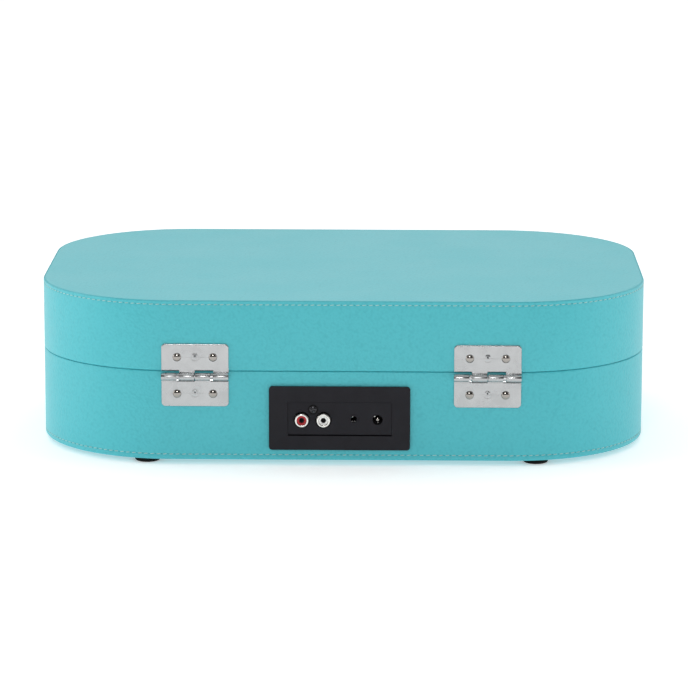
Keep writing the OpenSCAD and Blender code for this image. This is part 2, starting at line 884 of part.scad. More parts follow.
module switch_bodies() {
    color("darkgreen") {
        slide_switch(knob_x, function_y, 4, function_throw + 4);
        slide_switch(speed_x, back_row_y, speed_throw + 4, 4);
        slide_switch(auto_x, back_row_y, auto_throw + 4, 4);
        difference() {
            block(knob_x - 8.5, knob_x + 8.5, knob_y - 8.5, knob_y + 8.5, deck_under_z - 11, deck_under_z);
            rod_z(knob_x, knob_y, 3 + fit, deck_under_z - 8, deck_z);
        }
    }
}

module adapter_45() {
    color("silver") translate([adapter_x, adapter_y, 0]) difference() {
        union() {
            rod_z(0, 0, adapter_r, adapter_z, adapter_z + 5);
            translate([0, 0, adapter_z + 5]) cylinder(r1 = adapter_r, r2 = adapter_r - 5, h = 3);
        }
        rod_z(0, 0, spindle_r + 0.1, adapter_z - 1, adapter_z + 9);
    }
}

// ---------- loudspeakers and board ----------

// Puts its children under both grilles, at the deck's underside
module at_speakers() {
    for (spot = speakers) translate([spot[0], spot[1], deck_under_z]) children();
}

module speaker_frames() {
    rim_r = speaker_r + 2;
    color("dimgray") at_speakers() difference() {
        union() {
            rod_z(0, 0, rim_r, -2.5, 0);
            translate([0, 0, -15]) cylinder(r1 = 14, r2 = rim_r, h = 12.5);
        }
        rod_z(0, 0, speaker_r - 2, -1.5, 1);
        rod_z(0, 0, speaker_r - 1, -2.6, -1.5);
        translate([0, 0, -14]) cylinder(r1 = 13, r2 = speaker_r - 1, h = 11.5);
        rod_z(0, 0, 7, -16, 0);
    }
}

module speaker_cones() {
    edge_r = speaker_r - 1;
    color([0.08, 0.08, 0.08]) at_speakers() {
        difference() {
            rod_z(0, 0, edge_r, -2.4, -1.6);
            rod_z(0, 0, 20, -3, -1);
        }
        difference() {
            translate([0, 0, -11.6]) cylinder(r1 = 6, r2 = 20.6, h = 10);
            translate([0, 0, -10.8]) cylinder(r1 = 6, r2 = 20.6, h = 10);
        }
        translate([0, 0, -11.2]) dome(8, 4);
    }
}

module speaker_magnets() {
    color("gray") at_speakers() {
        rod_z(0, 0, 15, -26, -16.5);
        rod_z(0, 0, 11, -16.5, -15);
        rod_z(0, 0, 6.6, -16, -13);
    }
}

module main_board() {
    color("darkgreen") {
        for (x = [8, 92], y = [-42, 12]) rod_z(x, y, 3, floor_z, floor_z + 6);
        block(2, 98, -48, 18, floor_z + 6, floor_z + 7.6);
        for (i = [0:3]) rod_z(16 + i * 14, 4, 4, floor_z + 7, floor_z + 20);
        block(20, 48, -38, -28, floor_z + 7, floor_z + 24);
        block(62, 86, -34, -20, floor_z + 7, floor_z + 10);
    }
}

// ---------- nodes ----------

base_box();
base_cover();
feet();
screws();
deck_blocks();
lid_box();
lid_cover();
lid_lining();
hinge_base_leaves();
hinge_lid_leaves();
hinge_pins();
base_rivets();
lid_rivets();
jack_bezel();
jack_plate();
rca_shells();
rca_core_red();
rca_core_white();
line_jack();
dc_jack();
dc_pin();
jack_board();
latch_plates();
latch_lever_left();
latch_lever_right();
strike_plates();
handle_brackets();
handle_grip();
handle_ends();
deck_plate();
power_light();
spindle();
retaining_clip();
platter();
platter_bush();
platter_mat();
drive_belt();
motor();
motor_bracket();
motor_pulley();
tonearm_base();
arm_rest();
rest_clip();
arm_yoke();
arm_tube();
headshell();
cartridge();
stylus();
lift_platform();
cue_lever();
volume_knob();
function_slider();
speed_slider();
auto_stop_slider();
switch_bodies();
adapter_45();
speaker_frames();
speaker_cones();
speaker_magnets();
main_board();
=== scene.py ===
import json
import math
import random

import bmesh
import bpy
from mathutils import Matrix, Vector

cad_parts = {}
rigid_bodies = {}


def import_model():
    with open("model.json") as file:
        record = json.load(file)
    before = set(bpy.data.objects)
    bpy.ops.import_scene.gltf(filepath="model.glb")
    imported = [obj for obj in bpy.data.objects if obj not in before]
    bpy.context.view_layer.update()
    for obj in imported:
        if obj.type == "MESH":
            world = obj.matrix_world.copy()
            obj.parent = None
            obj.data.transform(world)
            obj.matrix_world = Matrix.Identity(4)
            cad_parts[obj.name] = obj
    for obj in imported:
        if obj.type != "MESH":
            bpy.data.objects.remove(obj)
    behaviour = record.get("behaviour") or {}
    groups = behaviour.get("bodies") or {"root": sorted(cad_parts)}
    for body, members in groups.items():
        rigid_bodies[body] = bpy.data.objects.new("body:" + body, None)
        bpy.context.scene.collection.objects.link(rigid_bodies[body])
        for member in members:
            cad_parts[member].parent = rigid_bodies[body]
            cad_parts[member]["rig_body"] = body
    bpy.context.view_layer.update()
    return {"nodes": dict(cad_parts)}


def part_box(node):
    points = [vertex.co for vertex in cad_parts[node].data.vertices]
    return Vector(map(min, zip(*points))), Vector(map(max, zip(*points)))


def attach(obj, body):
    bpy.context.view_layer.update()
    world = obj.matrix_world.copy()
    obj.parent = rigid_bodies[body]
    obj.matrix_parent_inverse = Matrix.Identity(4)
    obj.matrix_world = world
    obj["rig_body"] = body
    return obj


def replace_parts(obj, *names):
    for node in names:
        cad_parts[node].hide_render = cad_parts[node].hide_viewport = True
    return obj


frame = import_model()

NODES = frame["nodes"]
MM = 0.001
UP = Vector((0, 0, 1))
QUARTERS = [(1, 1, 0), (-1, 1, 90), (-1, -1, 180), (1, -1, 270)]
SEGMENTS_PER_CORNER = 40
SHARP_ANGLE = 35.0

# The case, in millimetres, as the CAD part has it
CASE_W = 375.0
CASE_D = 260.0
CORNER_R = 85.0
BASE_BOTTOM = 3.0
BASE_RIM = 58.0
LID_RIM = 58.4
TOP = 101.4
WALL = 6.0
SKIN = 0.8
DECK_Z = 56.0
BACK_Y = CASE_D / 2
FRONT_Y = -CASE_D / 2
HANDLE_X = 55
HANDLE_Y = FRONT_Y - 10
HANDLE_Z = 42
LID_STITCH_Z = 99.05
BASE_STITCH_Z = 6.5
STITCH_PITCH = 3.9


# ---------- mesh helpers ----------

def make_object(name, bm, material, body, shade_angle=40.0):
    """Turns a bmesh in millimetres into a piece in metres that rides on a body."""
    bmesh.ops.recalc_face_normals(bm, faces=bm.faces)
    bmesh.ops.scale(bm, vec=(MM, MM, MM), verts=bm.verts)
    mesh = bpy.data.meshes.new(name)
    bm.to_mesh(mesh)
    bm.free()
    mesh.shade_smooth()
    mesh.set_sharp_from_angle(angle=math.radians(shade_angle))
    obj = bpy.data.objects.new(name, mesh)
    bpy.context.scene.collection.objects.link(obj)
    mesh.materials.append(material)
    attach(obj, body)
    return obj


def join_rings(bm, rings, closed_loop=False):
    """Quads between rings of points; each ring is a closed loop. Returns the rings of vertices."""
    rows = [[bm.verts.new(p) for p in ring] for ring in rings]
    pairs = list(zip(rows, rows[1:]))
    if closed_loop:
        pairs.append((rows[-1], rows[0]))
    for a, b in pairs:
        count = len(a)
        for i in range(count):
            j = (i + 1) % count
            bm.faces.new((a[i], a[j], b[j], b[i]))
    return rows


def loft(bm, rings):
    """A closed solid through rings of points, with a face over each end."""
    rows = join_rings(bm, rings)
    for row in (rows[0], rows[-1]):
        bm.faces.new(row)


def add_box(bm, low, high):
    """A block between two opposite corners."""
    for v in bmesh.ops.create_cube(bm, size=1)["verts"]:
        v.co = Vector([low[k] if v.co[k] < 0 else high[k] for k in range(3)])


def case_ring(inset, z):
    """The rounded case outline, drawn in by inset, as a closed loop of points."""
    points = []
    reach_x = CASE_W / 2 - CORNER_R
    reach_y = CASE_D / 2 - CORNER_R
    r = CORNER_R - inset
    for side_x, side_y, start in QUARTERS:
        for i in range(SEGMENTS_PER_CORNER + 1):
            a = math.radians(start + 90 * i / SEGMENTS_PER_CORNER)
            points.append((side_x * reach_x + r * math.cos(a), side_y * reach_y + r * math.sin(a), z))
    return points


def case_shell(name, profile, material, body):
    """A closed skin made by sweeping a profile of (inset, z) round the case; both ends are capped."""
    bm = bmesh.new()
    loft(bm, [case_ring(inset, z) for inset, z in profile])
    return make_object(name, bm, material, body, 50)


def arc(cx, cz, r, start, end, steps=6):
    """Points of an arc in the (inset, z) plane; 0 degrees is outwards, 90 is up."""
    points = []
    for i in range(steps + 1):
        a = math.radians(start + (end - start) * i / steps)
        points.append((cx - r * math.cos(a), cz + r * math.sin(a)))
    return points


def walk_outline(inset, pitch):
    """Evenly spaced stations round the case: (position, tangent, outward normal)."""
    ring = [Vector(p) for p in case_ring(inset, 0)]
    lengths = [(ring[(i + 1) % len(ring)] - ring[i]).length for i in range(len(ring))]
    total = sum(lengths)
    count = round(total / pitch)
    stations = []
    edge = 0
    run = 0.0
    for k in range(count):
        target = total * k / count
        while run + lengths[edge] < target:
            run += lengths[edge]
            edge += 1
        a = ring[edge]
        b = ring[(edge + 1) % len(ring)]
        tangent = (b - a).normalized()
        stations.append((a + tangent * (target - run), tangent, Vector((tangent.y, -tangent.x, 0))))
    return stations


def lathe(bm, profile, centre=(0, 0, 0), axis="Z", segments=48):
    """A turned solid from a profile of (radius, height); a profile that closes on itself makes a ring."""
    c = Vector(centre)
    rings = []
    for r, h in profile:
        ring = []
        for i in range(segments):
            a = 2 * math.pi * i / segments
            u, v = r * math.cos(a), r * math.sin(a)
            offset = {"Z": (u, v, h), "Y": (u, h, -v), "X": (h, u, v)}[axis]
            ring.append(c + Vector(offset))
        rings.append(ring)
    if profile[0] == profile[-1]:
        join_rings(bm, rings[:-1], closed_loop=True)
    else:
        loft(bm, rings)
    bmesh.ops.remove_doubles(bm, verts=bm.verts, dist=1e-5)


def shape_with(obj, kind, **settings):
    """Runs one modifier on a piece and keeps the result as its mesh."""
    modifier = obj.modifiers.new(kind.lower(), kind)
    for name, value in settings.items():
        setattr(modifier, name, value)
    bpy.context.view_layer.update()
    shaped = bpy.data.meshes.new_from_object(obj.evaluated_get(bpy.context.evaluated_depsgraph_get()))
    obj.modifiers.clear()
    obj.data = shaped
    return shaped


def soften(node, material, width, segments):
    """A copy of a CAD node with its flat faces merged and its sharp edges rounded, shown in its place."""
    source = NODES[node]
    mesh = source.data.copy()
    bm = bmesh.new()
    bm.from_mesh(mesh)
    bmesh.ops.scale(bm, vec=(1 / MM, 1 / MM, 1 / MM), verts=bm.verts)
    bmesh.ops.remove_doubles(bm, verts=bm.verts, dist=0.002)
    bmesh.ops.dissolve_limit(bm, angle_limit=math.radians(1), verts=bm.verts, edges=bm.edges)
    bm.to_mesh(mesh)
    bm.free()
    obj = bpy.data.objects.new(node + "_finished", mesh)
    bpy.context.scene.collection.objects.link(obj)
    shaped = shape_with(obj, "BEVEL", width=width, segments=segments, limit_method="ANGLE",
                        angle_limit=math.radians(SHARP_ANGLE), use_clamp_overlap=True)
    shaped.shade_smooth()
    shaped.set_sharp_from_angle(angle=math.radians(30))
    shaped = shape_with(obj, "WEIGHTED_NORMAL", weight=100, keep_sharp=True)
    shaped.transform(Matrix.Scale(MM, 4))
    shaped.materials.clear()
    shaped.materials.append(material)
    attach(obj, source["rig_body"])
    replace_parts(obj, node)
    return obj


def paint(material, *nodes):
    """Gives carried-over CAD nodes a detailed material."""
    for node in nodes:
        NODES[node].data.materials.clear()
        NODES[node].data.materials.append(material)


# ---------- materials ----------

def new_material(name, color, roughness, metallic=0.0):
    """A plain material to build on: the material, its node tree and its shader node."""
    material = bpy.data.materials.new(name)
    material.use_nodes = True
    shader = material.node_tree.nodes["Principled BSDF"]
    shader.inputs["Base Color"].default_value = (*color, 1)
    shader.inputs["Roughness"].default_value = roughness
    shader.inputs["Metallic"].default_value = metallic
    return material, material.node_tree, shader


def coordinates(tree, stretch=(1, 1, 1)):
    """The piece's own coordinates, squeezed along the axes that stretch multiplies."""
    place = tree.nodes.new("ShaderNodeTexCoord")
    mapping = tree.nodes.new("ShaderNodeMapping")
    mapping.inputs["Scale"].default_value = stretch
    tree.links.new(place.outputs["Object"], mapping.inputs["Vector"])
    return mapping.outputs["Vector"]


def noise(tree, vector, size_mm, detail=3.0):
    """Cloudy noise whose patches are about size_mm across."""
    node = tree.nodes.new("ShaderNodeTexNoise")
    node.inputs["Scale"].default_value = 1000 / size_mm
    node.inputs["Detail"].default_value = detail
    tree.links.new(vector, node.inputs["Vector"])
    return node.outputs["Fac"]


def cells(tree, vector, size_mm):
    """Soft cells about size_mm across: the distance from the middle of each."""
    node = tree.nodes.new("ShaderNodeTexVoronoi")
    node.feature = "SMOOTH_F1"
    node.inputs["Scale"].default_value = 1000 / size_mm
    tree.links.new(vector, node.inputs["Vector"])
    return node.outputs["Distance"]


def remap(tree, value, low, high, from_low=0.0, from_high=1.0):
    """Spreads a value's range from_low to from_high over low to high."""
    node = tree.nodes.new("ShaderNodeMapRange")
    node.inputs["From Min"].default_value = from_low
    node.inputs["From Max"].default_value = from_high
    node.inputs["To Min"].default_value = low
    node.inputs["To Max"].default_value = high
    tree.links.new(value, node.inputs["Value"])
    return node.outputs["Result"]


def calculate(tree, operation, first, second):
    """One sum of two values in the node tree."""
    node = tree.nodes.new("ShaderNodeMath")
    node.operation = operation
    tree.links.new(first, node.inputs[0])
    tree.links.new(second, node.inputs[1])
    return node.outputs["Value"]


def blend_colors(tree, factor, first, second):
    """The first colour where factor is 0, the second where it is 1."""
    node = tree.nodes.new("ShaderNodeMix")
    node.data_type = "RGBA"
    node.inputs["A"].default_value = (*first, 1)
    node.inputs["B"].default_value = (*second, 1)
    tree.links.new(factor, node.inputs["Factor"])
    return node.outputs["Result"]


def add_bump(tree, shader, height, depth_mm, strength=1.0):
    """Stacks one more bump under those already on the shader."""
    node = tree.nodes.new("ShaderNodeBump")
    node.inputs["Strength"].default_value = strength
    node.inputs["Distance"].default_value = depth_mm * MM
    tree.links.new(height, node.inputs["Height"])
    socket = shader.inputs["Normal"]
    if socket.is_linked:
        tree.links.new(socket.links[0].from_socket, node.inputs["Normal"])
    tree.links.new(node.outputs["Normal"], socket)


PEBBLE_MM = 1.4
CREASE_MM = 0.6


def leatherette(name, color, dark):
    """Pebbled coated cloth: rounded pebbles, finer creases, painted shade in the valleys, patchy sheen."""
    material, tree, shader = new_material(name, color, 0.45)
    vector = coordinates(tree)
    pebbles = cells(tree, vector, PEBBLE_MM)
    # Painted shade: the valleys between the pebbles are blended towards the darker colour.
    valleys = remap(tree, pebbles, 0, 0.7, 0.35, 0.85)
    valley_shaded_tint = blend_colors(tree, valleys, color, dark)
    tree.links.new(valley_shaded_tint, shader.inputs["Base Color"])
    tree.links.new(remap(tree, noise(tree, vector, 40), 0.41, 0.45, 0.3, 0.7), shader.inputs["Roughness"])
    add_bump(tree, shader, remap(tree, pebbles, 1, 0), 0.26, 0.8)
    add_bump(tree, shader, noise(tree, vector, CREASE_MM), 0.03, 0.3)
    shader.inputs["Specular IOR Level"].default_value = 0.5
    return material


def plastic(name, color, roughness=0.45, grain_mm=0.35, depth_mm=0.02, specular=0.5):
    """Moulded plastic: a fine spark-eroded texture, faint handling marks in the sheen."""
    material, tree, shader = new_material(name, color, roughness)
    vector = coordinates(tree)
    tree.links.new(
        remap(tree, noise(tree, vector, 18), roughness - 0.07, roughness + 0.08, 0.3, 0.7),
        shader.inputs["Roughness"])
    lighter = tuple(min(1, c * 1.35 + 0.004) for c in color)
    tree.links.new(blend_colors(tree, noise(tree, vector, 9), color, lighter), shader.inputs["Base Color"])
    add_bump(tree, shader, noise(tree, vector, grain_mm), depth_mm, 0.5)
    shader.inputs["Specular IOR Level"].default_value = specular
    return material


def metal(name, color, roughness, brushed=None, depth_mm=0.01, spread=0.35):
    """Plated or turned metal; brushed is the stretch of its fine lines, spread how patchy its sheen is."""
    material, tree, shader = new_material(name, color, roughness, 1.0)
    vector = coordinates(tree)
    tree.links.new(
        remap(tree, noise(tree, vector, 12), roughness * (1 - spread), roughness * (1 + spread), 0.3, 0.7),
        shader.inputs["Roughness"])
    worn = tuple(c * (1 - 0.23 * spread) for c in color)
    tree.links.new(blend_colors(tree, noise(tree, vector, 6), color, worn), shader.inputs["Base Color"])
    lines = noise(tree, coordinates(tree, brushed or (1, 1, 1)), 0.4)
    add_bump(tree, shader, lines, depth_mm, 0.3)
    return material


def cloth(name, color, thread_mm=0.6, depth_mm=0.15):
    """Woven or napped cloth with crossing threads and uneven tone."""
    material, tree, shader = new_material(name, color, 0.9)
    vector = coordinates(tree)
    lighter = tuple(min(1, c * 1.7 + 0.01) for c in color)
    tree.links.new(blend_colors(tree, noise(tree, vector, 2.2), color, lighter), shader.inputs["Base Color"])
    add_bump(tree, shader, noise(tree, vector, thread_mm, 6), depth_mm, 0.7)
    shader.inputs["Sheen Weight"].default_value = 0.3
    return material


# The second colour is the painted shade in the valleys between the pebbles.
TEAL = leatherette("teal_leatherette", (0.073, 0.52, 0.583), (0.055, 0.447, 0.51))
THREAD = cloth("cream_thread", (0.27, 0.42, 0.40), 0.25, 0.08)
# Painted shade: a dark teal that stands in for the shade inside each needle hole.
NEEDLE_HOLE_SHADE = plastic("needle_hole", (0.04, 0.26, 0.29), 0.8)
CHROME = metal("nickel_plate", (0.47, 0.48, 0.485), 0.24)
RIVET = metal("polished_rivet", (0.37, 0.345, 0.32), 0.09)
SHELL = metal("bright_nickel", (0.86, 0.84, 0.80), 0.3)
DARK_STEEL = metal("blackened_steel", (0.06, 0.06, 0.065), 0.22)
STEEL = metal("steel", (0.56, 0.56, 0.57), 0.3, (1, 1, 12))
BRASS = metal("brass", (0.80, 0.60, 0.27), 0.25)
ALUMINIUM = metal("turned_aluminium", (0.83, 0.83, 0.85), 0.30, (1, 1, 10), 0.004, 0.08)
BLACK = plastic("black_abs", (0.022, 0.020, 0.024), 0.42)
ARM = plastic("satin_black", (0.045, 0.044, 0.048), 0.3, 0.35, 0.01, specular=0.6)
PANEL = plastic("panel_black", (0.015, 0.0145, 0.018), 0.6, specular=0.12)
RUBBER = plastic("black_rubber", (0.004, 0.004, 0.004), 0.75, 0.8, 0.04, specular=0.15)
RED = plastic("red_plastic", (0.42, 0.015, 0.02), 0.28)
WHITE = plastic("white_plastic", (0.80, 0.79, 0.75), 0.3)
GREY = plastic("grey_abs", (0.10, 0.10, 0.105), 0.4)
DECK = plastic("deck_abs", (0.020, 0.019, 0.022), 0.5, 0.7, 0.05, specular=0.4)
LAMP = plastic("red_lens", (0.62, 0.01, 0.01), 0.12)
LINING = cloth("charcoal_lining", (0.035, 0.036, 0.04), 0.8, 0.2)
BOARD = plastic("circuit_board", (0.015, 0.12, 0.045), 0.3)
CONE = cloth("paper_cone", (0.03, 0.03, 0.032), 1.2, 0.2)
PLY = cloth("sanded_ply", (0.42, 0.27, 0.15), 1.6, 0.1)


# ---------- case covers ----------

TURNED_IN = WALL + 0.17
AGAINST_WALL = WALL + 0.02
LID_TURN_IN_Z = 66.0
SHEET_INSET = 30.0
FOLD_R = 1.0
FOLD_EASE = [(0.06, 0.35), (0.25, 0.67), (0.55, 0.85), (0.9, 0.9)]
BEZEL_LAP_X = 0.007
BEZEL_LAP_Z = 0.006


def folded_edge(z, up):
    """The turned-in skin and its roll over a rim at z; up is 1 for a rim that points up, else -1."""
    start = z - 0.9 * up
    side = [(TURNED_IN, start)] + [(TURNED_IN - d, start + up * h) for d, h in FOLD_EASE]
    return side + arc(FOLD_R, z - up * FOLD_R, FOLD_R, 90 * up, 0)


def stitch_groove(z):
    """The thread pulls the skin in a little where the stitches run."""
    slope = [(0.03, 0.7), (0.16, 0.35)]
    below = [(0, z - 1.1)] + [(inset, z - d) for inset, d in slope]
    above = [(inset, z + d) for inset, d in reversed(slope)] + [(0, z + 1.0)]
    return below + [(0.2, z)] + above


def build_lid_cover():
    """Side band and top sheet meet in a fine seam above the stitching; the band folds over the rim."""
    rim = LID_RIM - 0.02
    inner = [(SKIN, TOP - SKIN), (SKIN, rim), (AGAINST_WALL, rim), (AGAINST_WALL, LID_TURN_IN_Z)]
    outer = [(TURNED_IN, LID_TURN_IN_Z)] + folded_edge(LID_RIM - 0.15, -1)
    outer += stitch_groove(LID_STITCH_Z)
    outer += arc(0.5, TOP - 0.75, 0.5, 0, 80)
    outer += [(0.62, TOP - 0.62), (0.82, TOP - 0.62)]
    outer += arc(1.5, TOP - 0.55, 0.55, 20, 90)
    outer += [(4.0, TOP), (SHEET_INSET, TOP)]
    return case_shell("lid_cover_skin", inner + outer, TEAL, "lid")


def build_base_cover():
    """One sheet up the side, folded over the rim, with a stitched lower edge."""
    rim = BASE_RIM + 0.02
    turn_in = DECK_Z + 0.1
    inner = [(SKIN, BASE_BOTTOM + SKIN), (SKIN, rim), (AGAINST_WALL, rim), (AGAINST_WALL, turn_in)]
    outer = [(TURNED_IN, turn_in)] + folded_edge(BASE_RIM + 0.13, 1)
    outer += list(reversed(stitch_groove(BASE_STITCH_Z)))
    outer += arc(1.6, BASE_BOTTOM + 1.6, 1.6, 0, -90)
    outer += [(WALL, BASE_BOTTOM), (SHEET_INSET, BASE_BOTTOM)]
    skin = case_shell("base_cover_skin", inner + outer, TEAL, "base")
    low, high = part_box("jack_bezel")
    back = BACK_Y * MM
    cut_block(skin, (low.x + BEZEL_LAP_X, back - 0.02, low.z + BEZEL_LAP_Z),
              (high.x - BEZEL_LAP_X, back + 0.01, high.z - BEZEL_LAP_Z))
    return skin


def cut_block(obj, low, high):
    """Cuts a box-shaped opening, given in metres, out of a piece."""
    bm = bmesh.new()
    add_box(bm, low, high)
    mesh = bpy.data.meshes.new("cutter")
    bm.to_mesh(mesh)
    bm.free()
    cutter = bpy.data.objects.new("cutter", mesh)
    bpy.context.scene.collection.objects.link(cutter)
    shape_with(obj, "BOOLEAN", operation="DIFFERENCE", solver="EXACT", object=cutter)
    bpy.data.objects.remove(cutter)


def turn_angles(count):
    """Evenly spaced angles of one turn."""
    return [2 * math.pi * i / count for i in range(count)]


def add_stitch(bm, centre, tangent, normal, across, length, swell, sink=0.35):
    """One cord-like stitch lying along tangent, its two ends going down into the skin."""
    rings = []
    for step in range(7):
        s = step / 6 - 0.5
        r = swell * math.sqrt(max(0.05, 1 - (2 * s) ** 4))
        spot = centre + tangent * (s * length) - normal * (sink * (2 * s) ** 4)
        rings.append([
            spot + normal * (0.75 * r * math.cos(a)) + across * (r * math.sin(a))
            for a in turn_angles(8)
        ])
    loft(bm, rings)


def add_needle_hole(bm, centre, tangent, normal, across, r):
    """A dark disc just under the skin's groove: painted shade in the needle hole."""
    disc = [
        centre + tangent * (r * math.cos(a)) + across * (0.86 * r * math.sin(a))
        for a in turn_angles(8)
    ]
    loft(bm, [disc, [p - normal * 0.3 for p in disc]])


def build_stitches(name, z, body):
    """A row of stitches round the case, with a needle hole between each two."""
    rng = random.Random(7)
    thread = bmesh.new()
    holes = bmesh.new()
    for place, tangent, normal in walk_outline(0, STITCH_PITCH):
        length = STITCH_PITCH * rng.uniform(0.66, 0.74)
        lean = (tangent + UP * rng.uniform(0.08, 0.16)).normalized()
        spot = place - normal * 0.10
        spot.z = z
        hole = spot + tangent * (STITCH_PITCH / 2) - normal * 0.03
        add_stitch(thread, spot, lean, normal, UP, length, 0.25)
        add_needle_hole(holes, hole, tangent, normal, UP, 0.38)
    make_object(name + "_thread", thread, THREAD, body)
    make_object(name + "_holes", holes, NEEDLE_HOLE_SHADE, body)


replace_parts(build_lid_cover(), "lid_cover")
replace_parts(build_base_cover(), "base_cover")
build_stitches("lid_stitching", LID_STITCH_Z, "lid")
build_stitches("base_stitching", BASE_STITCH_Z, "base")


# ---------- pressed plates, hinges and rivets ----------

def rounded_plate_ring(w, h, corner_low, corner_high, inset, count_side=72, count_corner=8):
    """A rectangle w by h centred on (0, 0), drawn in by inset, its lower and upper corners rounded."""
    points = []
    hw, hh = w / 2 - inset, h / 2 - inset
    arcs = []
    for sx, sy, start in QUARTERS:
        corner = corner_high if sy > 0 else corner_low
        r = max(corner - inset, 0.02)
        arcs.append([
            (sx * (hw - r) + r * math.cos(math.radians(start + 90 * i / count_corner)),
             sy * (hh - r) + r * math.sin(math.radians(start + 90 * i / count_corner)))
            for i in range(count_corner + 1)
        ])
    for k in range(4):
        points += arcs[k]
        a, b = arcs[k][-1], arcs[(k + 1) % 4][0]
        for i in range(1, count_side):
            t = i / count_side
            points.append((a[0] + (b[0] - a[0]) * t, a[1] + (b[1] - a[1]) * t))
    return points


def pressed_plate(bm, cx, cz, w, h, y0, thickness, corner_low, corner_high, relief, facing=1):
    """A sheet-metal plate square to Y: rounded edges, and relief(x, z) added to its face."""
    step = 0.45
    reach = min(w, h) / 2
    levels = [(0.0, 0.0), (0.0, 0.45), (0.06, 0.72), (0.2, 0.9), (step, 1.0)]
    inset = step
    while inset < reach - 0.4:
        inset += step
        levels.append((min(inset, reach - 0.05), 1.0))
    rings = []
    for inset, level in levels:
        ring = []
        for x, z in rounded_plate_ring(w, h, corner_low, corner_high, inset):
            lift = thickness * level + (relief(x, z) if level == 1.0 else 0)
            ring.append(Vector((cx + x, y0 + facing * lift, cz + z)))
        rings.append(ring)
    loft(bm, rings)


def knuckle(bm, x0, x1, y, z, outer, inner):
    """A rolled knuckle with eased ends."""
    ease = 0.22
    profile = [(inner, x0), (outer - ease, x0), (outer - 0.06, x0 + 0.07), (outer, x0 + ease)]
    profile += [(outer, x1 - ease), (outer - 0.06, x1 - 0.07), (outer - ease, x1), (inner, x1), (inner, x0)]
    lathe(bm, profile, (0, y, z), "X", 40)


def ring_sector(bm, x0, x1, y, z, outer, inner, start, end):
    """The stop lug: part of a ring round the hinge pin."""
    rings = []
    for i in range(25):
        a = math.radians(start + (end - start) * i / 24)
        c, q = math.cos(a), math.sin(a)
        rings.append([
            Vector((x, y + r * c, z + r * q))
            for x, r in ((x0, inner), (x0, outer), (x1, outer), (x1, inner))
        ])
    loft(bm, rings)


HINGE_X = 88.5
HINGE_W = 40.8
HINGE_Y = BACK_Y + 2.6
HINGE_Z = 55.05
BARREL_R = 2.35
PIN_BORE_R = 1.25
LUG_GAP = 1.6
LUG_CLEARANCE = 0.3
KNUCKLE_GAP = 0.4
KNUCKLE_W = (HINGE_W - 2 * LUG_GAP - KNUCKLE_GAP) / 4
LEAF_T = 0.9
LEAF_FACE = BACK_Y + LEAF_T
LEAF_CORNER = 2.4
CUT_CORNER = 0.25
HINGE_RIVET_X = 10.9
RIVET_R = 2.6
RIVET_EDGE = 0.12
RIVET_DOME = 1.35


def knuckle_start(i):
    """Where knuckle i begins, measured from the middle of the hinge."""
    gaps = [0, LUG_GAP, LUG_GAP + KNUCKLE_GAP, 2 * LUG_GAP + KNUCKLE_GAP]
    return -HINGE_W / 2 + i * KNUCKLE_W + gaps[i]


def flat(x, z):
    """No relief."""
    return 0.0


def embossed(reach_x, reach_z, height):
    """A panel with soft sides, centred on the plate; a negative height sinks it."""
    def relief(x, z):
        inside = min(reach_x - abs(x), reach_z - abs(z))
        t = min(1.0, max(0.0, inside / 1.2))
        return height * t * t * (3 - 2 * t)
    return relief


def dimple(centre_z):
    """A shallow pressed ring with a small pierced boss in its middle."""
    def relief(x, z):
        d = math.hypot(x, z - centre_z)
        ring = -0.12 * math.exp(-((d - 2.2) / 0.7) ** 2)
        boss = 0.22 * math.exp(-((d - 0.95) / 0.5) ** 2)
        pit = -0.8 * math.exp(-(d / 0.6) ** 2)
        return ring + boss + pit
    return relief


def build_hinge_leaves(name, body, z0, z1, knuckles, web, stand_off, lug_angles, dimple_z):
    """The two leaves on one body: plates with their knuckles, webs and stop lugs."""
    bm = bmesh.new()
    on_base = body == "base"
    corners = (LEAF_CORNER, CUT_CORNER) if on_base else (CUT_CORNER, LEAF_CORNER)
    centre_z = (z0 + z1) / 2
    relief = dimple(dimple_z - centre_z)
    for side in (-1, 1):
        cx = side * HINGE_X
        pressed_plate(bm, cx, centre_z, HINGE_W, z1 - z0, BACK_Y, LEAF_T, *corners, relief)
        for i in knuckles:
            x0 = cx + knuckle_start(i)
            x1 = x0 + KNUCKLE_W
            knuckle(bm, x0, x1, HINGE_Y, HINGE_Z, BARREL_R, PIN_BORE_R)
            add_box(bm, (x0 + 0.02, BACK_Y + stand_off, web[0]), (x1 - 0.02, LEAF_FACE + 0.004, web[1]))
            lug0 = x0 - LUG_GAP + LUG_CLEARANCE if on_base else x1
            lug1 = lug0 + LUG_GAP - LUG_CLEARANCE
            ring_sector(bm, lug0, lug1, HINGE_Y, HINGE_Z, BARREL_R - 0.1, 1.4, *lug_angles)
    return make_object(name, bm, CHROME, body, 35)


def build_rivets(name, body, spots, node):
    """Polished domes; each spot is (x, y, z, facing)."""
    profile = [(RIVET_R, 0.0), (RIVET_R, RIVET_EDGE)]
    for i in range(1, 10):
        t = math.radians(9 * i)
        profile.append((RIVET_R * math.cos(t), RIVET_EDGE + RIVET_DOME * math.sin(t)))
    profile.append((0.02, RIVET_EDGE + RIVET_DOME))
    bm = bmesh.new()
    for x, y, z, facing in spots:
        lathe(bm, [(r, facing * h) for r, h in profile], (x, y, z), "Y", 32)
    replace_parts(make_object(name, bm, RIVET, body, 60), node)


def rivet_row(x, apart, y, z, facing):
    """Two rivets side by side on the plate at -x and two on the plate at x."""
    return [(side * x + dx, y, z, facing) for side in (-1, 1) for dx in (-apart, apart)]


def handle_rivets():
    """Two rivets, one above the other, on each bracket of the handle."""
    return [(side * HANDLE_X, FRONT_Y - 1.5, HANDLE_Z + dz, -1) for side in (-1, 1) for dz in (-7, 7)]


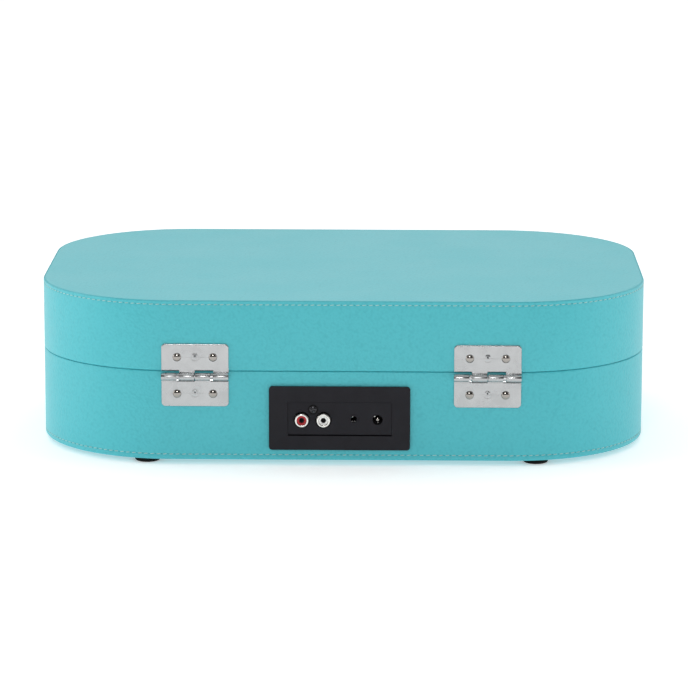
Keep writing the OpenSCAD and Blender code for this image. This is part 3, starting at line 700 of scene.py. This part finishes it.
lid_leaves = build_hinge_leaves("hinge_lid_leaves_pressed", "lid", LID_RIM, 75.0, (0, 2),
                                (HINGE_Z + 1.3, 60.4), 0.55, (30, 159), 67.4)
base_leaves = build_hinge_leaves("hinge_base_leaves_pressed", "base", 36.4, 52.3, (1, 3),
                                 (51.7, HINGE_Z - 1.3), 0.0, (160, 289), 45.0)
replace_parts(lid_leaves, "hinge_lid_leaves")
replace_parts(base_leaves, "hinge_base_leaves")
lid_spots = rivet_row(HINGE_X, HINGE_RIVET_X, LEAF_FACE, 66.8, 1) + rivet_row(HINGE_X, 7, FRONT_Y - 1, 70, -1)
base_spots = rivet_row(HINGE_X, HINGE_RIVET_X, LEAF_FACE, 44.3, 1)
base_spots += rivet_row(HINGE_X, 7.5, FRONT_Y - 1, 51, -1) + handle_rivets()
build_rivets("lid_rivets_domed", "lid", lid_spots, "lid_rivets")
build_rivets("base_rivets_domed", "base", base_spots, "base_rivets")


# ---------- jacks and screws ----------

JACK_SCREW = (17, BACK_Y + 1.6, 35)
DECK_SCREWS = [(-152, -20), (-92, 108), (40, 114), (147, 95), (168, 62), (-20, -114), (150, -84)]
FOOT_X = 118.5
FOOT_Y = 117.5


def middle(node):
    """Centre of a CAD node's box, in mm."""
    low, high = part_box(node)
    return (Vector(low) + Vector(high)) / (2 * MM)


def build_rca(node, material, x, z, tip):
    """The insulator of one phono jack, dished round its hole, and a black liner down the hole: painted shade
    in the contact's bore.
    """
    floor = tip - 7.5
    core = bmesh.new()
    rim = [(2.9, tip - 0.95), (2.8, tip - 0.76), (2.6, tip - 0.7), (2.2, tip - 0.72), (2.1, tip - 0.95)]
    dish = [(1.85, tip - 1.0), (1.62, tip - 1.25), (1.6, floor + 1), (0.02, floor + 1)]
    lathe(core, [(0.02, floor), (2.9, floor)] + rim + dish, (x, 0, z), "Y", 48)
    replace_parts(make_object(node + "_moulded", core, material, "base", 30), node)
    # Painted shade: a black liner down the hole stands in for the shade in the contact's bore.
    contact = bmesh.new()
    liner = [(1.4, tip - 1.7), (1.56, tip - 1.7), (1.56, tip - 6.4), (0.02, tip - 6.4), (0.02, tip - 6.2)]
    lathe(contact, liner + [(1.4, tip - 6.2), (1.4, tip - 1.7)], (x, 0, z), "Y", 32)
    make_object(node + "_hole_shade", contact, BLACK, "base", 30)


def build_rca_shells(spots, tip):
    """Turned shells with a rounded rim, each on its moulded block."""
    bm = bmesh.new()
    housing = bmesh.new()
    flange = BACK_Y - 3.4
    back = flange - 4
    r = 5.5
    outer = [(4.15, flange), (4.15, tip - 0.55), (4.06, tip - 0.24), (3.9, tip - 0.07), (3.7, tip)]
    inner = [(3.25, tip), (3.08, tip - 0.07), (3.0, tip - 0.25), (3.0, flange)]
    for x, z in spots:
        lathe(bm, [(3.0, flange)] + outer + inner, (x, 0, z), "Y", 64)
        lathe(housing, [(0.02, back), (r, back), (r, flange), (0.02, flange)], (x, 0, z), "Y", 48)
        add_box(housing, (x - r, BACK_Y - 16.4, z - r), (x + r, back, z + r))
    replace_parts(make_object("rca_shells_turned", bm, SHELL, "base", 30), "rca_shells")
    make_object("rca_housings", housing, BLACK, "base", 30)


def build_line_jack(x, z):
    """A moulded collar flush with the plate, its housing, and the contact springs in the bore."""
    bm = bmesh.new()
    face = BACK_Y + 1.8
    back = BACK_Y - 6
    outer = [(1.8, back), (3.1, back), (3.1, face - 0.15), (2.95, face)]
    inner = [(2.15, face), (1.85, face - 0.3), (1.8, face - 0.6), (1.8, back)]
    lathe(bm, outer + inner, (x, 0, z), "Y", 48)
    add_box(bm, (x - 5, BACK_Y - 16.4, z - 5), (x + 5, BACK_Y - 14, z + 5))
    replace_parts(make_object("line_jack_moulded", bm, PANEL, "base", 30), "line_jack")
    springs = bmesh.new()
    for dx, dz in ((-0.8, -1.45), (0.7, -1.4), (0.9, 1.3)):
        low = (x + dx - 0.3, BACK_Y - 2.4, z + dz - 0.12)
        add_box(springs, low, (x + dx + 0.3, BACK_Y + 0.4, z + dz + 0.12))
    make_object("line_jack_springs", springs, SHELL, "base", 30)


def build_dc_jack(x, z):
    """The centre pin with a rounded tip, and two straight side contact strips beside it."""
    pin = bmesh.new()
    tip = BACK_Y + 0.6
    root = BACK_Y - 12
    profile = [(0.02, root), (1, root), (1, tip - 0.5), (0.86, tip - 0.15), (0.5, tip), (0.02, tip)]
    lathe(pin, profile, (x, 0, z), "Y", 32)
    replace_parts(make_object("dc_pin_turned", pin, RIVET, "base", 40), "dc_pin")
    spring = bmesh.new()
    for dx, dz in ((-0.3, -2.5), (1.9, 1.3)):
        low = (x + dx - 0.45, BACK_Y - 9, z + dz - 0.15)
        add_box(spring, low, (x + dx + 0.45, BACK_Y - 2.5, z + dz + 0.15))
    make_object("dc_jack_springs", spring, SHELL, "base", 30)


def pan_head(bm, centre, facing, r, h, turn=0.0):
    """A domed screw head with a cross recess, looking along facing."""
    facing = Vector(facing)
    side = facing.orthogonal().normalized()
    up = facing.cross(side)
    centre = Vector(centre)

    def height(u, v):
        crown = h * max(0.0, 1 - (math.hypot(u, v) / r) ** 3) ** 0.5
        reach, slot = 0.60 * r, 0.15 * r
        inside = max(min(reach - abs(u), slot - abs(v)), min(reach - abs(v), slot - abs(u)))
        return crown - 0.62 * h * min(1.0, max(0.0, inside / 0.14))

    rings = []
    turned = math.radians(turn)
    for step in range(26):
        d = r * (1 - step / 25) if step < 25 else 0.02
        ring = []
        for angle in turn_angles(72):
            a = angle + turned
            u, v = d * math.cos(a - turned), d * math.sin(a - turned)
            spot = side * (d * math.cos(a)) + up * (d * math.sin(a))
            ring.append(centre + spot + facing * height(u, v))
        rings.append(ring)
    base = [p - facing * 0.3 for p in rings[0]]
    loft(bm, [base] + rings)


def build_screws():
    """Cross-recessed screws: one in the jack panel, those of the deck, and one in each foot."""
    rng = random.Random(11)
    black = bmesh.new()
    pan_head(black, JACK_SCREW, (0, 1, 0), 2.5, 1.3, 20)
    # Painted shade: a thin dark ring round the screw head stands in for the shade of its recess.
    recess = bmesh.new()
    lathe(recess, [(2.4, 0), (3.05, 0), (3.05, 0.06), (2.4, 0.06), (2.4, 0)], JACK_SCREW, "Y", 48)
    make_object("jack_screw_recess_shade", recess, RUBBER, "base", 30)
    for x, y in DECK_SCREWS:
        pan_head(black, (x, y, DECK_Z), (0, 0, 1), 2.8, 1.3, rng.uniform(0, 90))
    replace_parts(make_object("screw_heads_black", black, DARK_STEEL, "base", 40), "screws")
    plain = bmesh.new()
    for x in (-FOOT_X, FOOT_X):
        for y in (-FOOT_Y, FOOT_Y):
            pan_head(plain, (x, y, 1.8), (0, 0, -1), 2.6, 1.1, rng.uniform(0, 90))
    make_object("screw_heads_feet", plain, STEEL, "base", 40)


RED_JACK = middle("rca_core_red")
WHITE_JACK = middle("rca_core_white")
PHONO_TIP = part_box("rca_shells")[1][1] / MM
build_rca("rca_core_red", RED, RED_JACK.x, RED_JACK.z, PHONO_TIP)
build_rca("rca_core_white", WHITE, WHITE_JACK.x, WHITE_JACK.z, PHONO_TIP)
build_rca_shells([(RED_JACK.x, RED_JACK.z), (WHITE_JACK.x, WHITE_JACK.z)], PHONO_TIP)
LINE_JACK = middle("line_jack")
build_line_jack(LINE_JACK.x, LINE_JACK.z)
POWER_PIN = middle("dc_pin")
build_dc_jack(POWER_PIN.x, POWER_PIN.z)
build_screws()


# ---------- latches and handle ----------

def extrude_x(bm, x0, x1, outline, ease=0.25):
    """A prism along X; outline(inset) gives its (y, z) loop drawn in by inset, for eased end edges."""
    rings = []
    for x, inset in ((x0, ease), (x0 + 0.3 * ease, 0.3 * ease), (x0 + ease, 0), (x1 - ease, 0),
                     (x1 - 0.3 * ease, 0.3 * ease), (x1, ease)):
        rings.append([Vector((x, y, z)) for y, z in outline(inset)])
    loft(bm, rings)


def lug_outline(cy, cz, r, back_y):
    """A D-shaped lug: round in front at (cy, cz), straight back to back_y."""
    def outline(inset):
        points = [(back_y, cz + r - inset)]
        for i in range(17):
            a = math.radians(90 + 180 * i / 16)
            points.append((cy + (r - inset) * math.cos(a), cz + (r - inset) * math.sin(a)))
        points.append((back_y, cz - r + inset))
        return points
    return outline


def strip_outline(path, thickness):
    """A strip of sheet metal bent along a path of (y, z) points."""
    def outline(inset):
        left, right = [], []
        for i, (y, z) in enumerate(path):
            y0, z0 = path[max(i - 1, 0)]
            y1, z1 = path[min(i + 1, len(path) - 1)]
            run = math.hypot(y1 - y0, z1 - z0)
            ny, nz = -(z1 - z0) / run, (y1 - y0) / run
            half = thickness / 2 - 0.5 * inset
            left.append((y + ny * half, z + nz * half))
            right.append((y - ny * half, z - nz * half))
        return left + right[::-1]
    return outline


LATCH_Y = FRONT_Y - 3.6
LATCH_Z = 40


def build_latch_plates():
    """Base plates with two ears each for the lever's pin."""
    bm = bmesh.new()
    for side in (-1, 1):
        cx = side * HINGE_X
        pressed_plate(bm, cx, LATCH_Z + 4, 26, 20, FRONT_Y, 1.0, 2.0, 2.0, flat, -1)
        for x in (cx - 11, cx + 9):
            extrude_x(bm, x, x + 2, lug_outline(LATCH_Y, LATCH_Z, 2.6, FRONT_Y - 0.4), 0.3)
        lathe(bm, [(0.02, cx - 11.2), (1.2, cx - 11.2), (1.2, cx + 11.2), (0.02, cx + 11.2)],
              (0, LATCH_Y, LATCH_Z), "X", 24)
    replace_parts(make_object("latch_plates_pressed", bm, CHROME, "base", 35), "latch_plates")


def build_latch_lever(node, side):
    """A pressed lever rolled round its pin, with a sunk panel, a hook and a curled thumb lip."""
    bm = bmesh.new()
    cx = side * HINGE_X
    inner = FRONT_Y - 2.7
    top = LATCH_Z + 25
    knuckle(bm, cx - 8.6, cx + 8.6, LATCH_Y, LATCH_Z, 2.2, 1.25)
    pressed_plate(bm, cx, LATCH_Z + 13.2, 17.2, 23.6, inner, 1.2, 0.3, 1.6, embossed(5.6, 8.6, -0.45), -1)
    lip = [(inner - 0.6, top - 0.8), (inner - 0.9, top), (inner - 1.6, top + 0.6),
           (inner - 2.8, top + 0.9), (inner - 4.3, top + 0.9), (inner - 5.0, top + 0.6)]
    extrude_x(bm, cx - 8.4, cx + 8.4, strip_outline(lip, 1.0), 0.3)
    hook = [(inner - 0.5, top - 0.7), (inner + 0.4, top - 0.7), (inner + 1.0, top - 0.9)]
    extrude_x(bm, cx - 6, cx + 6, strip_outline(hook, 0.9), 0.2)
    body = "latch_left" if side < 0 else "latch_right"
    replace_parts(make_object(node + "_pressed", bm, CHROME, body, 35), node)


def build_strike_plates():
    """Plates on the lid with a catch bent out of each."""
    bm = bmesh.new()
    for side in (-1, 1):
        cx = side * HINGE_X
        pressed_plate(bm, cx, 66.85, 22, 14.7, FRONT_Y, 1.0, 1.2, 2.0, flat, -1)
        catch = [(FRONT_Y - 0.6, 63.9), (FRONT_Y - 1.0, 62.9), (FRONT_Y - 1.7, 62.5), (FRONT_Y - 2.4, 62.2)]
        extrude_x(bm, cx - 7, cx + 7, strip_outline(catch, 0.9), 0.2)
    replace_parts(make_object("strike_plates_pressed", bm, CHROME, "lid", 35), "strike_plates")


GRIP_Z = HANDLE_Z - 26
GRIP_REACH = 49
GRIP_STITCH = 3.6


def build_handle_brackets():
    """Plates with two round lugs each and the pin that the handle swings on."""
    bm = bmesh.new()
    for side in (-1, 1):
        cx = side * HANDLE_X
        pressed_plate(bm, cx, HANDLE_Z, 18, 20, FRONT_Y, 1.5, 2.2, 2.2, flat, -1)
        for x in (cx - 8, cx + 5):
            extrude_x(bm, x, x + 3, lug_outline(HANDLE_Y, HANDLE_Z, 4.5, FRONT_Y - 0.8), 0.5)
        near = [(0.02, cx - 8.6), (1.4, cx - 8.6), (2.0, cx - 8.2)]
        far = [(2.0, cx + 8.2), (1.4, cx + 8.6), (0.02, cx + 8.6)]
        lathe(bm, near + far, (0, HANDLE_Y, HANDLE_Z), "X", 32)
    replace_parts(make_object("handle_brackets_cast", bm, CHROME, "base", 35), "handle_brackets")


def build_handle_grip():
    """A padded roll of leatherette: slightly fuller in the middle, gathered at a sewn seam behind."""
    bm = bmesh.new()
    rings = []
    for step in range(121):
        x = -GRIP_REACH + 2 * GRIP_REACH * step / 120
        fullness = 6.7 + 0.3 * (1 - (x / GRIP_REACH) ** 2)
        pucker = 0.10 * math.cos(2 * math.pi * x / GRIP_STITCH)
        ring = []
        for a in turn_angles(48):
            seam = math.exp(-((min(a, 2 * math.pi - a)) / 0.28) ** 2)
            r = fullness + seam * (pucker - 0.35)
            ring.append(Vector((x, HANDLE_Y + r * math.cos(a), GRIP_Z + r * math.sin(a))))
        rings.append(ring)
    loft(bm, rings)
    grip = make_object("handle_grip_padded", bm, TEAL, "handle", 60)
    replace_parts(grip, "handle_grip")
    thread = bmesh.new()
    for row in (-0.42, 0.42):
        normal = Vector((0, math.cos(row), math.sin(row)))
        across = Vector((0, -math.sin(row), math.cos(row)))
        for k in range(-12, 13):
            spot = Vector((k * GRIP_STITCH, HANDLE_Y, GRIP_Z)) + normal * 6.85
            add_stitch(thread, spot, Vector((1, 0, 0)), normal, across, 2.6, 0.28)
    make_object("handle_grip_thread", thread, THREAD, "handle")


build_latch_plates()
build_latch_lever("latch_lever_left", -1)
build_latch_lever("latch_lever_right", 1)
build_strike_plates()
build_handle_brackets()
build_handle_grip()
soften("handle_ends", CHROME, 0.6, 3)


# ---------- record deck ----------

def under(node):
    """The point on the table plane below the middle of a CAD node."""
    spot = middle(node)
    return Vector((spot.x, spot.y, 0))


SPINDLE = under("spindle")
SPINDLE_R = 3.55


def build_platter():
    """A turned dish: rolled rim with a rounded edge, skirt, belt ring and spokes below."""
    bm = bmesh.new()
    belt_ring = [(6, 61.5), (69.5, 61.5), (69.5, 57.7), (69.7, 57.5), (71.8, 57.5), (72, 57.7), (72, 61.5)]
    skirt = [(94.5, 61.5), (94.5, 57.7), (94.7, 57.5), (96.6, 57.5), (96.9, 57.65), (97, 58)]
    groove = [(97, 59.2), (96.7, 59.5), (96.7, 60.1), (97, 60.4)]
    rim = [(97, 62.8), (96.8, 63.3), (96.3, 63.5), (93.6, 63.5), (93.3, 63.3), (92.4, 63.3)]
    lathe(bm, belt_ring + skirt + groove + rim + [(6, 63.3), (6, 61.5)], SPINDLE, "Z", 192)
    for k in range(6):
        a = math.radians(60 * k)
        along = Vector((math.cos(a), math.sin(a), 0))
        across = Vector((-math.sin(a), math.cos(a), 0))
        loop = [along * 9 - across, along * 70 - across, along * 70 + across, along * 9 + across]
        loft(bm, [[SPINDLE + p + Vector((0, 0, z)) for p in loop] for z in (59.5, 61.6)])
    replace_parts(make_object("platter_turned", bm, ALUMINIUM, "turntable", 35), "platter")


def build_platter_mat():
    """A moulded rubber mat with ribbed rings and a plain label area."""
    bm = bmesh.new()
    profile = [(9, 63.32), (91.6, 63.32), (92, 63.7), (92, 64.7), (91.7, 65), (88.5, 65)]
    r = 88.5
    while r > 52:
        profile += [(r - 0.3, 64.55), (r - 1.2, 64.55), (r - 1.5, 65), (r - 2.4, 65)]
        r -= 2.4
    profile += [(50, 65), (49.6, 64.4), (17, 64.4), (16.6, 65), (9.4, 65), (9, 64.6), (9, 63.32)]
    lathe(bm, profile, SPINDLE, "Z", 160)
    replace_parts(make_object("platter_mat_ribbed", bm, RUBBER, "turntable", 25), "platter_mat")


def build_spindle():
    """A turned post with a flange under the deck, a collar on it and a round tip."""
    bm = bmesh.new()
    post = [(0.02, 44), (4, 44), (4, 50), (10, 50), (10, 53), (4.05, 53)]
    collar = [(4.05, 56), (6.5, 56), (6.5, 56.5), (4, 56.5)]
    shoulder = [(4, 64.5), (3.8, 64.8), (SPINDLE_R, 64.9), (SPINDLE_R, 73.4)]
    tip = []
    for i in range(1, 9):
        t = math.radians(10 * i)
        tip.append((SPINDLE_R * math.cos(t), 73.45 + SPINDLE_R * math.sin(t)))
    lathe(bm, post + collar + shoulder + tip + [(0.02, 77)], SPINDLE, "Z", 64)
    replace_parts(make_object("spindle_turned", bm, STEEL, "base", 30), "spindle")


def build_adapter():
    """A turned 45 rpm adapter: a cone with a groove round its bore."""
    bm = bmesh.new()
    foot = [(3.65, 52.3), (3.95, 52), (18.8, 52), (19.1, 52.3), (19.1, 56.6)]
    cone = [(18.8, 57), (14.4, 59.8), (14.0, 60), (9, 60)]
    groove = [(8.6, 59.7), (7.6, 59.7), (7.2, 60), (4.0, 60), (3.65, 59.7), (3.65, 52.3)]
    lathe(bm, foot + cone + groove, under("adapter_45"), "Z", 96)
    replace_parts(make_object("adapter_45_turned", bm, ALUMINIUM, "adapter", 35), "adapter_45")


def build_volume_knob():
    """A fluted cap over a plain skirt, with a painted pointer line."""
    bm = bmesh.new()
    cx, cy = middle("volume_knob").xy
    stem = [(3, 46, 0), (3, 57, 0)]
    skirt = [(9.3, 57, 0), (9.5, 57.2, 0), (9.5, 58.6, 0), (9.1, 59.6, 0), (8.5, 60, 0)]
    fluted = [(8.4, 60.2, 1), (8.3, 62, 1), (8.2, 64.9, 1), (7.9, 65.6, 0.5)]
    cap = [(7.3, 66, 0), (6.8, 65.8, 0), (0.02, 65.8, 0)]
    rings = []
    for r, z, flute in stem + skirt + fluted + cap:
        ring = []
        for a in turn_angles(144):
            notch = -0.22 * flute * (0.5 + 0.5 * math.cos(24 * a))
            ring.append(Vector((cx + (r + notch) * math.cos(a), cy + (r + notch) * math.sin(a), z)))
        rings.append(ring)
    loft(bm, rings)
    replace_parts(make_object("volume_knob_fluted", bm, BLACK, "volume", 35), "volume_knob")
    mark = bmesh.new()
    add_box(mark, (cx - 0.45, cy + 2.4, 65.7), (cx + 0.45, cy + 7.0, 65.86))
    make_object("volume_knob_mark", mark, WHITE, "volume")


RIB_SHARE = 0.36
RIB_PITCH = 0.4
CORE_SHARE = 0.96


def build_slider(node, body, along):
    """A slider cap: a flat skirt and a ribbed thumb block; along is the axis it slides on, 0 or 1."""
    bm = bmesh.new()
    low, high = (Vector(p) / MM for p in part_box(node))
    cx = (low.x + high.x) / 2
    cy = (low.y + high.y) / 2
    half = ((high.x - low.x) / 2, (high.y - low.y) / 2)
    thumb = (half[0] / 2, half[1] / 2)

    def loop(hx, hy, z, corner):
        ring = []
        for sx, sy, start in QUARTERS:
            for i in range(5):
                a = math.radians(start + 22.5 * i)
                ring.append(Vector((cx + sx * (hx - corner) + corner * math.cos(a),
                                    cy + sy * (hy - corner) + corner * math.sin(a), z)))
        return ring

    eased = [(0.1, 0.3), (0, 0.5), (0, 1.6), (0.12, 1.88), (0.4, 2)]
    loft(bm, [loop(half[0] - d, half[1] - d, DECK_Z + h, 0.8) for d, h in eased])
    add_box(bm, (cx - 1.5, cy - 1.5, DECK_Z - 4), (cx + 1.5, cy + 1.5, DECK_Z + 1))
    for k in range(-2, 3):
        width = thumb[along] * RIB_SHARE
        shift = thumb[along] * RIB_PITCH * k
        hx, hy = (width / 2, thumb[1]) if along == 0 else (thumb[0], width / 2)
        x, y = (cx + shift, cy) if along == 0 else (cx, cy + shift)
        top = DECK_Z + 4 - 0.12 * k * k
        add_box(bm, (x - hx, y - hy, DECK_Z + 1.8), (x + hx, y + hy, top))
    hx = thumb[0] * CORE_SHARE
    hy = thumb[1] * CORE_SHARE
    add_box(bm, (cx - hx, cy - hy, DECK_Z + 1.8), (cx + hx, cy + hy, DECK_Z + 3.2))
    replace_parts(make_object(node + "_ribbed", bm, GREY, body, 30), node)


build_platter()
build_platter_mat()
build_spindle()
build_adapter()
build_volume_knob()
build_slider("function_slider", "function", 1)
build_slider("speed_slider", "speed", 0)
build_slider("auto_stop_slider", "auto_stop", 0)


# ---------- pieces that keep their CAD shape ----------

soften("jack_bezel", PANEL, 0.3, 3)
soften("jack_plate", PANEL, 0.12, 2)
soften("feet", RUBBER, 0.5, 3)
for node in ("tonearm_base", "arm_rest", "lift_platform"):
    soften(node, BLACK, 0.3, 2)
for node in ("rest_clip", "arm_yoke", "arm_tube", "headshell", "cue_lever"):
    soften(node, ARM, 0.3, 2)
soften("cartridge", RED, 0.4, 2)
soften("stylus", RED, 0.1, 1)
soften("deck_plate", DECK, 0.25, 2)
paint(BLACK, "dc_jack", "switch_bodies")
paint(STEEL, "hinge_pins", "retaining_clip", "motor", "motor_bracket", "speaker_frames", "speaker_magnets")
paint(BRASS, "platter_bush", "motor_pulley")
paint(RUBBER, "drive_belt")
paint(LINING, "lid_lining", "lid_box", "base_box")
paint(PLY, "deck_blocks")
paint(BOARD, "jack_board", "main_board")
paint(CONE, "speaker_cones")
paint(LAMP, "power_light")


# ---------- camera, light and floor ----------

LENS_MM = 186.03
CAMERA_PLACE = (-0.03222, 2.23286, 0.50314)
CAMERA_TARGET = (0, -0.01, 0.05)
CAMERA_ROLL = 0.13
CAMERA_SHIFT = (-0.000988, -0.007108)
WORLD_FAR = 1.06
WORLD_NEAR = 0.52
CEILING = 0.44
FLOOR_SIZE = 6
FLOOR_GLOW = 0.35
PLAIN_WHITE = (1, 1, 1, 1)


def aim(obj, target):
    """Turns a camera or light so that it looks at a point."""
    direction = Vector(target) - obj.location
    obj.rotation_euler = direction.to_track_quat("-Z", "Y").to_euler()


def build_camera():
    """A long lens that looks at the back of the case from a little above."""
    data = bpy.data.cameras.new("camera")
    data.lens = LENS_MM
    data.sensor_width = 36
    data.clip_start = 0.1
    data.clip_end = 50
    data.shift_x, data.shift_y = CAMERA_SHIFT
    camera = bpy.data.objects.new("camera", data)
    camera.location = CAMERA_PLACE
    bpy.context.scene.collection.objects.link(camera)
    aim(camera, CAMERA_TARGET)
    camera.rotation_euler.rotate_axis("Z", math.radians(CAMERA_ROLL))
    bpy.context.scene.camera = camera


def build_floor():
    """A pale floor that glows a little, so that it runs into the white background."""
    bm = bmesh.new()
    bmesh.ops.create_grid(bm, x_segments=4, y_segments=4, size=FLOOR_SIZE)
    mesh = bpy.data.meshes.new("floor")
    bm.to_mesh(mesh)
    bm.free()
    floor = bpy.data.objects.new("floor", mesh)
    bpy.context.scene.collection.objects.link(floor)
    material = plastic("pale_floor", (0.90, 0.90, 0.90), 0.9, specular=0.1)
    shader = material.node_tree.nodes["Principled BSDF"]
    shader.inputs["Emission Color"].default_value = PLAIN_WHITE
    shader.inputs["Emission Strength"].default_value = FLOOR_GLOW
    mesh.materials.append(material)


def build_world():
    """White light all round: strongest on the far side from the camera, darker above the camera."""
    world = bpy.data.worlds.new("studio")
    world.use_nodes = True
    tree = world.node_tree
    background = tree.nodes["Background"]
    direction = tree.nodes.new("ShaderNodeSeparateXYZ")
    tree.links.new(tree.nodes.new("ShaderNodeTexCoord").outputs["Generated"], direction.inputs[0])
    glow = remap(tree, direction.outputs["Y"], WORLD_FAR, WORLD_NEAR, -0.15, 0.45)
    near = remap(tree, direction.outputs["Y"], 0, CEILING, 0.05, 0.3)
    above = remap(tree, direction.outputs["Z"], 0, 1, 0.02, 0.2)
    ceiling = calculate(tree, "MULTIPLY", near, above)
    tree.links.new(calculate(tree, "SUBTRACT", glow, ceiling), background.inputs["Strength"])
    background.inputs["Color"].default_value = PLAIN_WHITE
    bpy.context.scene.world = world
    bpy.context.scene.view_settings.view_transform = "Standard"


def add_area(name, location, size, power, target=(0, 0, 0.05)):
    """A rectangular softbox aimed at the case."""
    data = bpy.data.lights.new(name, "AREA")
    data.shape = "RECTANGLE"
    data.size = size[0]
    data.size_y = size[1]
    data.energy = power
    light = bpy.data.objects.new(name, data)
    light.location = location
    bpy.context.scene.collection.objects.link(light)
    aim(light, target)


build_camera()
build_floor()
build_world()
add_area("key_softbox", (0.15, 2.2, 1.25), (0.6, 0.45), 12)
add_area("top_softbox", (0, 0.5, 1.7), (1.4, 0.9), 2)
add_area("left_strip", (-1.6, 0.3, 0.6), (0.6, 1.0), 3)
add_area("right_strip", (1.6, 0.3, 0.6), (0.6, 1.0), 5.5)
